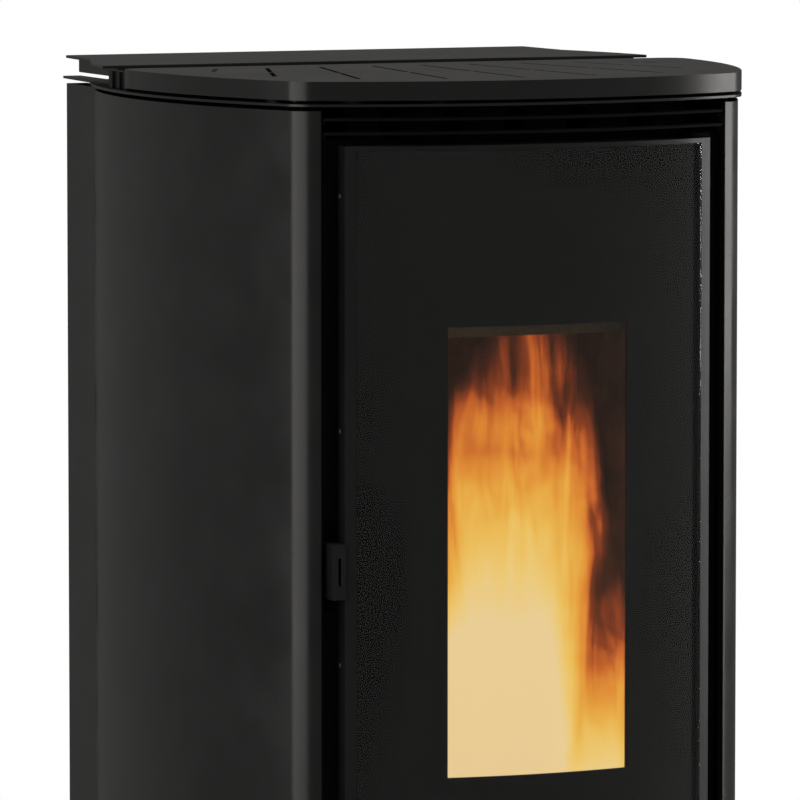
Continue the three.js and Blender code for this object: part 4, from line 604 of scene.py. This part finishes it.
def glass_print():
    """The black print behind the glass, bent where the glass's own facets meet."""
    corners = glass_back()
    edge = GLASS_HIGH.x - PRINT_MARGIN
    lines = [-edge, -WINDOW_HALF_X, WINDOW_HALF_X, edge]
    near = 2 * COLUMN_PITCH
    bends = [x for x, _ in corners if abs(x) < edge - near and abs(abs(x) - WINDOW_HALF_X) > near]
    columns = sorted(bends + lines)
    rows = [GLASS_LOW.z + PRINT_MARGIN, WINDOW_LOW_Z, WINDOW_HIGH_Z, GLASS_HIGH.z - PRINT_MARGIN]

    def build(built):
        bowed_grid(built, lambda x: back_y(corners, x) + PRINT_CLEAR, columns, rows, in_window)

    piece("glass_print", build, MATERIALS["enamel"], "door")


glass_print()

FLANK_SCREW_ROWS = 4
FLANK_SCREW_RADIUS = 3.2 * MM
FLANK_SCREW_PITCH = 192 * MM
FLANK_SCREW_TOP = PLATE_HIGH.z - 75 * MM
FLANK_SCREW_Y = DOOR_HIGH.y - 5 * MM


def flank_screws():
    """A row of black screws down each flank of the door frame."""
    for row in range(FLANK_SCREW_ROWS):
        z = FLANK_SCREW_TOP - FLANK_SCREW_PITCH * row
        for side, label in ((-1, "left"), (1, "right")):
            at = (side * DOOR_HIGH.x, FLANK_SCREW_Y, z)
            # The screws take the door paint, with its painted shade.
            screw(f"door_screw_{label}_{row + 1}", at, (side, 0, 0), FLANK_SCREW_RADIUS, "door", "door")


flank_screws()

# ------------------------------------------------------------------ the fire

FIRE_Y = (POT_LOW.y + POT_HIGH.y) / 2
FIRE_FRONT = POT_LOW.y - 4 * MM

# The flame's colours by age: 0 is the hot core, 1 the cold end.
FLAME_COLOURS = [
    (0.00, (0.88, 0.66, 0.34)),
    (0.34, (0.89, 0.68, 0.34)),
    (0.42, (0.92, 0.645, 0.205)),
    (0.50, (0.91, 0.56, 0.115)),
    (0.58, (0.87, 0.43, 0.060)),
    (0.66, (0.79, 0.28, 0.034)),
    (0.74, (0.60, 0.14, 0.021)),
    (0.81, (0.30, 0.055, 0.012)),
    (0.90, (0.09, 0.022, 0.008)),
    (1.00, (0.03, 0.012, 0.006)),
]
FLAME_STRENGTH = 1.06

# How far the streaks are drawn out upwards, and how much they and the slower curls change the age.
STREAK_STRETCH = 0.17
LICK_SWAY = 0.12
CURL_SWAY = 0.06


def flame_material(name):
    """Flame: how far a point is from the hot root sets its colour, broken up by rising streaks."""
    made, tree, output, place = new_material(name)
    cool = node(tree, "Attribute", attribute_name="cool").outputs["Fac"]
    cover = node(tree, "Attribute", attribute_name="cover").outputs["Fac"]
    drawn_out = {"Vector": place, "Scale": (1.0, 1.0, STREAK_STRETCH)}
    stretched = node(tree, "Mapping", drawn_out).outputs["Vector"]
    licks = node(tree, "TexNoise", {"Vector": stretched, "Scale": 48.0, "Detail": 5.0, "Distortion": 0.7})
    curls = node(tree, "TexNoise", {"Vector": place, "Scale": 9.0, "Detail": 2.0, "Distortion": 1.2})
    sway = ranged(tree, licks.outputs["Fac"], -LICK_SWAY, LICK_SWAY)
    drift = ranged(tree, curls.outputs["Fac"], -CURL_SWAY, CURL_SWAY)
    both = node(tree, "Math", {0: sway, 1: drift}, operation="ADD").outputs[0]
    spread = node(tree, "Math", {0: both, 1: ranged(tree, cool, 0.12, 1.0, 0.3, 0.75)}, operation="MULTIPLY")
    age = node(tree, "Math", {0: cool, 1: spread.outputs[0]}, operation="ADD").outputs[0]
    ramp = node(tree, "ValToRGB", {"Fac": age})
    elements = ramp.color_ramp.elements
    for index, (at, colour) in enumerate(FLAME_COLOURS):
        element = elements[index] if index < 2 else elements.new(at)
        element.position = at
        element.color = (*colour, 1)
    lit = node(tree, "Emission", {"Color": ramp.outputs["Color"], "Strength": FLAME_STRENGTH})
    clear = node(tree, "BsdfTransparent")
    solid = node(tree, "Math", {0: cover, 1: ranged(tree, age, 1.0, 0.0, 0.78, 1.0)}, operation="MULTIPLY")
    solid.use_clamp = True
    mixed = node(tree, "MixShader", {0: solid.outputs[0], 1: clear.outputs[0], 2: lit.outputs[0]})
    tree.links.new(mixed.outputs[0], output.inputs["Surface"])
    return made


FLAME = flame_material("flame")

# Where the flame ends to the left and the right, in millimetres, by height, and how soon it cools inwards.
LEFT_END = [(480, -135), (560, -112), (640, -80), (750, -74), (800, -46), (860, -22)]
RIGHT_END = [(480, 118), (620, 108), (700, 112), (840, 96), (900, 70)]
SIDE_COOLING = 80

# The low tongue at the right: where it starts, its age at the root, its top, and its cooling past its middle.
TONGUE_X = 60
TONGUE_AGE = 0.30
TONGUE_TOP = 650
TONGUE_MIDDLE = 116
TONGUE_COOLING = 0.008

# The coldest age that a flame takes, and how softly its limits blend.
COLDEST = 1.4
BLEND = 4

FLAME_COLUMNS = 90
FLAME_ROWS = 100
RIM_FADE = 9


def between(stops, z):
    """The value at z on a line through (z, value) stops."""
    for (z0, a), (z1, b) in zip(stops, stops[1:]):
        if z <= z1:
            return a + (b - a) * max(0.0, (z - z0) / (z1 - z0))
    return stops[-1][1]


def coolness(x, z, root, top, shift):
    """0 in the hot core, 1 at the flame's end, at a point in millimetres."""
    rise = (z - root) / (top - root)
    right = 1 + (x - shift - between(RIGHT_END, z)) / SIDE_COOLING
    left = 1 + (between(LEFT_END, z) - x + shift) / SIDE_COOLING
    main = (rise ** BLEND + max(0.0, right) ** BLEND + max(0.0, left) ** BLEND) ** (1 / BLEND)
    if x <= TONGUE_X:
        return min(main, COLDEST)
    tongue = TONGUE_AGE + (1 - TONGUE_AGE) * (z - root) / (TONGUE_TOP - root)
    return min(main, tongue + max(0.0, x - TONGUE_MIDDLE) * TONGUE_COOLING, COLDEST)


def flame(name, x0, x1, root, top, y, bulge, shift=0.0, colder=0.0):
    """A curved sheet of flame, in millimetres, fading out towards its sides."""
    verts = []
    cools = []
    covers = []
    for j in range(FLAME_ROWS + 1):
        z = root + (top - root) * j / FLAME_ROWS
        for i in range(FLAME_COLUMNS + 1):
            u = 2 * i / FLAME_COLUMNS - 1
            x = x0 + (x1 - x0) * i / FLAME_COLUMNS
            verts.append((x * MM, (y - bulge * (1 - u * u)) * MM, z * MM))
            cools.append(coolness(x, z, root, top, shift) + colder)
            covers.append(min(1.0, (1 - abs(u)) * RIM_FADE))
    width = FLAME_COLUMNS + 1
    faces = [(j * width + i, j * width + i + 1, (j + 1) * width + i + 1, (j + 1) * width + i)
             for j in range(FLAME_ROWS) for i in range(FLAME_COLUMNS)]
    mesh = bpy.data.meshes.new(name)
    mesh.from_pydata(verts, [], faces)
    for label, values in (("cool", cools), ("cover", covers)):
        mesh.attributes.new(label, "FLOAT", "POINT").data.foreach_set("value", values)
    mesh.polygons.foreach_set("use_smooth", [True] * len(mesh.polygons))
    mesh.materials.append(FLAME)
    obj = bpy.data.objects.new(name, mesh)
    bpy.context.scene.collection.objects.link(obj)
    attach(obj, "stove")


def fire():
    """Two sheets of flame in front of the burner pot, the rear one cooler and a little to the left."""
    root = SHELF_HIGH.z / MM + 2
    front = FIRE_FRONT / MM
    flame("flame_front", -138, 138, root, top=898, y=front, bulge=12)
    flame("flame_back", -130, 130, root, top=890, y=front + 3, bulge=10, shift=-8, colder=0.10)


fire()


PELLET_RADIUS = 3 * MM
PELLET_BEVEL = 0.4 * MM
PELLET_SIDES = 10
PELLET_COUNT = 140
HEAP_BOTTOM = POT_LOW.z + 12 * MM


def ember_material(name):
    """Charred wood that glows in patches."""
    made, tree, output, place = new_material(name)
    glow = grains(tree, place, scale=260.0, detail=4.0)
    tint = blended(tree, ranged(tree, glow, 0, 1), (0.35, 0.05, 0.01), (1.0, 0.45, 0.1))
    shader = node(tree, "BsdfPrincipled", {
        "Base Color": (0.05, 0.035, 0.03, 1),
        "Roughness": 0.9,
        "Emission Color": tint,
        "Emission Strength": ranged(tree, glow, 0.2, 1.4),
    })
    tree.links.new(shader.outputs[0], output.inputs["Surface"])
    return made


def embers():
    """Burning pellets heaped in the pot."""
    draw = random.Random(7)
    end = PELLET_RADIUS * 0.9

    def heap(built):
        for _ in range(PELLET_COUNT):
            x = draw.uniform(-36, 36) * MM
            y = FIRE_Y + draw.uniform(-38, 38) * MM
            z = HEAP_BOTTOM + draw.uniform(0, 34) * MM
            half = draw.uniform(10, 20) * MM / 2
            turn = Matrix.Translation((x, y, z)) @ Matrix.Rotation(draw.uniform(0, math.tau), 4, "Z")
            turn = turn @ Matrix.Rotation(draw.uniform(1.2, 1.9), 4, "Y")
            below = [(0, -half), (end, -half), (PELLET_RADIUS, PELLET_BEVEL - half)]
            above = [(radius, -height) for radius, height in reversed(below)]
            lathe(built, below + above, turn, PELLET_SIDES)

    piece("ember_pellets", heap, ember_material("ember"), "stove")


embers()

# ------------------------------------------------------------------ hopper seal and back screws

# The seal's middle line: its sides, its front and its back; and its section, outwards and up, in millimetres.
SEAL_HALF_X = 186.9 * MM
SEAL_FRONT_Y = 84.6 * MM
SEAL_BACK_Y = 199.4 * MM
SEAL_BASE = HOPPER_HIGH.z + 0.1 * MM
SEAL_CORNER = 6 * MM
SEAL_TURNS = 5
SEAL_SECTION = [(-2.2, 0), (-2.2, 1.4), (-1.4, 2.6), (0, 3.0), (1.4, 2.6), (2.2, 1.4), (2.2, 0)]


def rim_seal():
    """A half-round rubber seal on the hopper's rim, under the lid."""
    x = SEAL_HALF_X - SEAL_CORNER
    front = SEAL_FRONT_Y + SEAL_CORNER
    back = SEAL_BACK_Y - SEAL_CORNER

    def ring(built, cx, cy, angle):
        made = []
        for out, up in SEAL_SECTION:
            reach = SEAL_CORNER + out * MM
            at = (cx + reach * math.cos(angle), cy + reach * math.sin(angle), SEAL_BASE + up * MM)
            made.append(built.verts.new(at))
        return made

    def build(built):
        rings = []
        for quarter, (cx, cy) in enumerate([(x, back), (-x, back), (-x, front), (x, front)]):
            for step in range(SEAL_TURNS + 1):
                rings.append(ring(built, cx, cy, (quarter + step / SEAL_TURNS) * math.pi / 2))
        for near, far in zip(rings, rings[1:] + rings[:1]):
            for k in range(len(SEAL_SECTION)):
                after = (k + 1) % len(SEAL_SECTION)
                built.faces.new([near[k], near[after], far[after], far[k]])

    piece("lid_seal", build, MATERIALS["rubber"], "stove")


rim_seal()


BACK_SCREW_X = 192 * MM
BACK_SCREW_INSET = 20 * MM
BACK_SCREW_GAPS = 5
BACK_SCREW_RADIUS = 4 * MM


def back_screws():
    """Screws down both sides of the rear panel, and two along its top and its bottom."""
    low = REAR_LOW.z + BACK_SCREW_INSET
    high = REAR_HIGH.z - BACK_SCREW_INSET
    inner = BACK_SCREW_X / 3
    places = [(x, z) for z in steps(low, high, BACK_SCREW_GAPS) for x in (-BACK_SCREW_X, BACK_SCREW_X)]
    places += [(x, z) for z in (low, high) for x in (-inner, inner)]
    for count, (x, z) in enumerate(places, 1):
        screw(f"back_screw_{count}", (x, REAR_HIGH.y, z), (0, 1, 0), BACK_SCREW_RADIUS)


back_screws()

# ------------------------------------------------------------------ stage, lights and camera

CAMERA_AT = Vector((-2.4489, -5.8323, 1.3716))
CAMERA_YAW = math.radians(22.667)
CAMERA_DIP = math.radians(5.397)
CAMERA_LENS = 335.7
CAMERA_SENSOR = 36

# The world's strength as a light; the floor's radius, where it starts to fade, and how far it lies below 0.
WORLD_LIGHT = 0.6
FLOOR_RADIUS = 2.6
FLOOR_CLEAR = 0.9
FLOOR_DROP = 0.2 * MM


def camera():
    """The camera of the photograph, a little above the stove and to its left."""
    data = bpy.data.cameras.new("camera")
    data.sensor_width = CAMERA_SENSOR
    data.lens = CAMERA_LENS
    data.clip_start = 0.1
    data.clip_end = 100
    obj = bpy.data.objects.new("camera", data)
    bpy.context.scene.collection.objects.link(obj)
    obj.location = CAMERA_AT
    obj.rotation_euler = (math.pi / 2 - CAMERA_DIP, 0, -CAMERA_YAW)
    bpy.context.scene.camera = obj


def seen(tree):
    """1 for rays that should meet a white background: camera, glossy and transmission rays."""
    path = node(tree, "LightPath").outputs
    found = path["Is Camera Ray"]
    for kind in ("Is Glossy Ray", "Is Transmission Ray"):
        found = node(tree, "Math", {0: found, 1: path[kind]}, operation="MAXIMUM").outputs[0]
    return found


def world():
    """An even pale sky, white where it is seen."""
    made = bpy.data.worlds.new("studio")
    bpy.context.scene.world = made
    made.use_nodes = True
    tree = made.node_tree
    tree.nodes.clear()
    output = node(tree, "OutputWorld")
    strength = ranged(tree, seen(tree), WORLD_LIGHT, 1.0, 0, 1)
    sky = node(tree, "Background", {"Color": (1, 1, 1, 1), "Strength": strength})
    tree.links.new(sky.outputs[0], output.inputs["Surface"])


def floor():
    """A round pale floor that fades to white at its rim."""
    made, tree, output, place = new_material("floor")
    parts = node(tree, "SeparateXYZ", {"Vector": place})
    flat = node(tree, "CombineXYZ", {"X": parts.outputs["X"], "Y": parts.outputs["Y"]})
    reach = node(tree, "VectorMath", {0: flat.outputs[0]}, operation="LENGTH").outputs["Value"]
    fade = ranged(tree, reach, 0, 1, FLOOR_CLEAR, FLOOR_RADIUS * 0.95)
    speckle = grains(tree, place, scale=80.0, detail=4.0)
    tint = blended(tree, ranged(tree, speckle, 0, 1), (0.80, 0.80, 0.79), (0.84, 0.84, 0.83))
    matt = node(tree, "BsdfDiffuse", {"Color": tint})
    white = node(tree, "Emission", {"Color": (1, 1, 1, 1), "Strength": 1.0})
    shown = node(tree, "Math", {0: fade, 1: seen(tree)}, operation="MULTIPLY")
    mixed = node(tree, "MixShader", {0: shown.outputs[0], 1: matt.outputs[0], 2: white.outputs[0]})
    tree.links.new(mixed.outputs[0], output.inputs["Surface"])
    mesh = bpy.data.meshes.new("floor")
    built = bmesh.new()
    bmesh.ops.create_circle(built, cap_ends=True, radius=FLOOR_RADIUS, segments=96)
    built.to_mesh(mesh)
    built.free()
    mesh.materials.append(made)
    obj = bpy.data.objects.new("floor", mesh)
    bpy.context.scene.collection.objects.link(obj)
    obj.location.z = -FLOOR_DROP


def softbox(name, at, aim, width, height, power, mirrored=False):
    """A lamp with a plain face: it either lights the object or only shows in its gloss."""
    data = bpy.data.lights.new(name, "AREA")
    data.shape = "RECTANGLE"
    data.size = width
    data.size_y = height
    data.energy = power
    obj = bpy.data.objects.new(name, data)
    bpy.context.scene.collection.objects.link(obj)
    obj.location = at
    obj.rotation_euler = (Vector(aim) - Vector(at)).to_track_quat("-Z", "Y").to_euler()
    obj.visible_camera = False
    obj.visible_glossy = mirrored
    obj.visible_diffuse = not mirrored


def lights():
    """Weak lamps that light the stove, and three panels that show in its gloss."""
    softbox("overhead", (0.2, -0.6, 3.4), (0, 0, 0.9), 1.6, 1.6, 34)
    softbox("left_fill", (-3.0, -1.6, 1.9), (0, 0, 0.7), 1.4, 1.4, 22)
    softbox("right_fill", (2.8, -2.4, 1.9), (0, 0, 0.7), 1.4, 1.4, 28)
    softbox("left_box", (-3.06, -0.94, 0.95), (0, 0, 0.95), 2.3, 2.6, 300, True)
    softbox("right_box", (3.12, -0.68, 1.85), (0, 0, 1.85), 1.6, 2.7, 250, True)
    softbox("right_strip", (2.97, -1.20, 1.0), (0, 0, 1.0), 0.4, 2.6, 72, True)


camera()
world()
floor()
lights()
bpy.context.scene.view_settings.view_transform = "Standard"
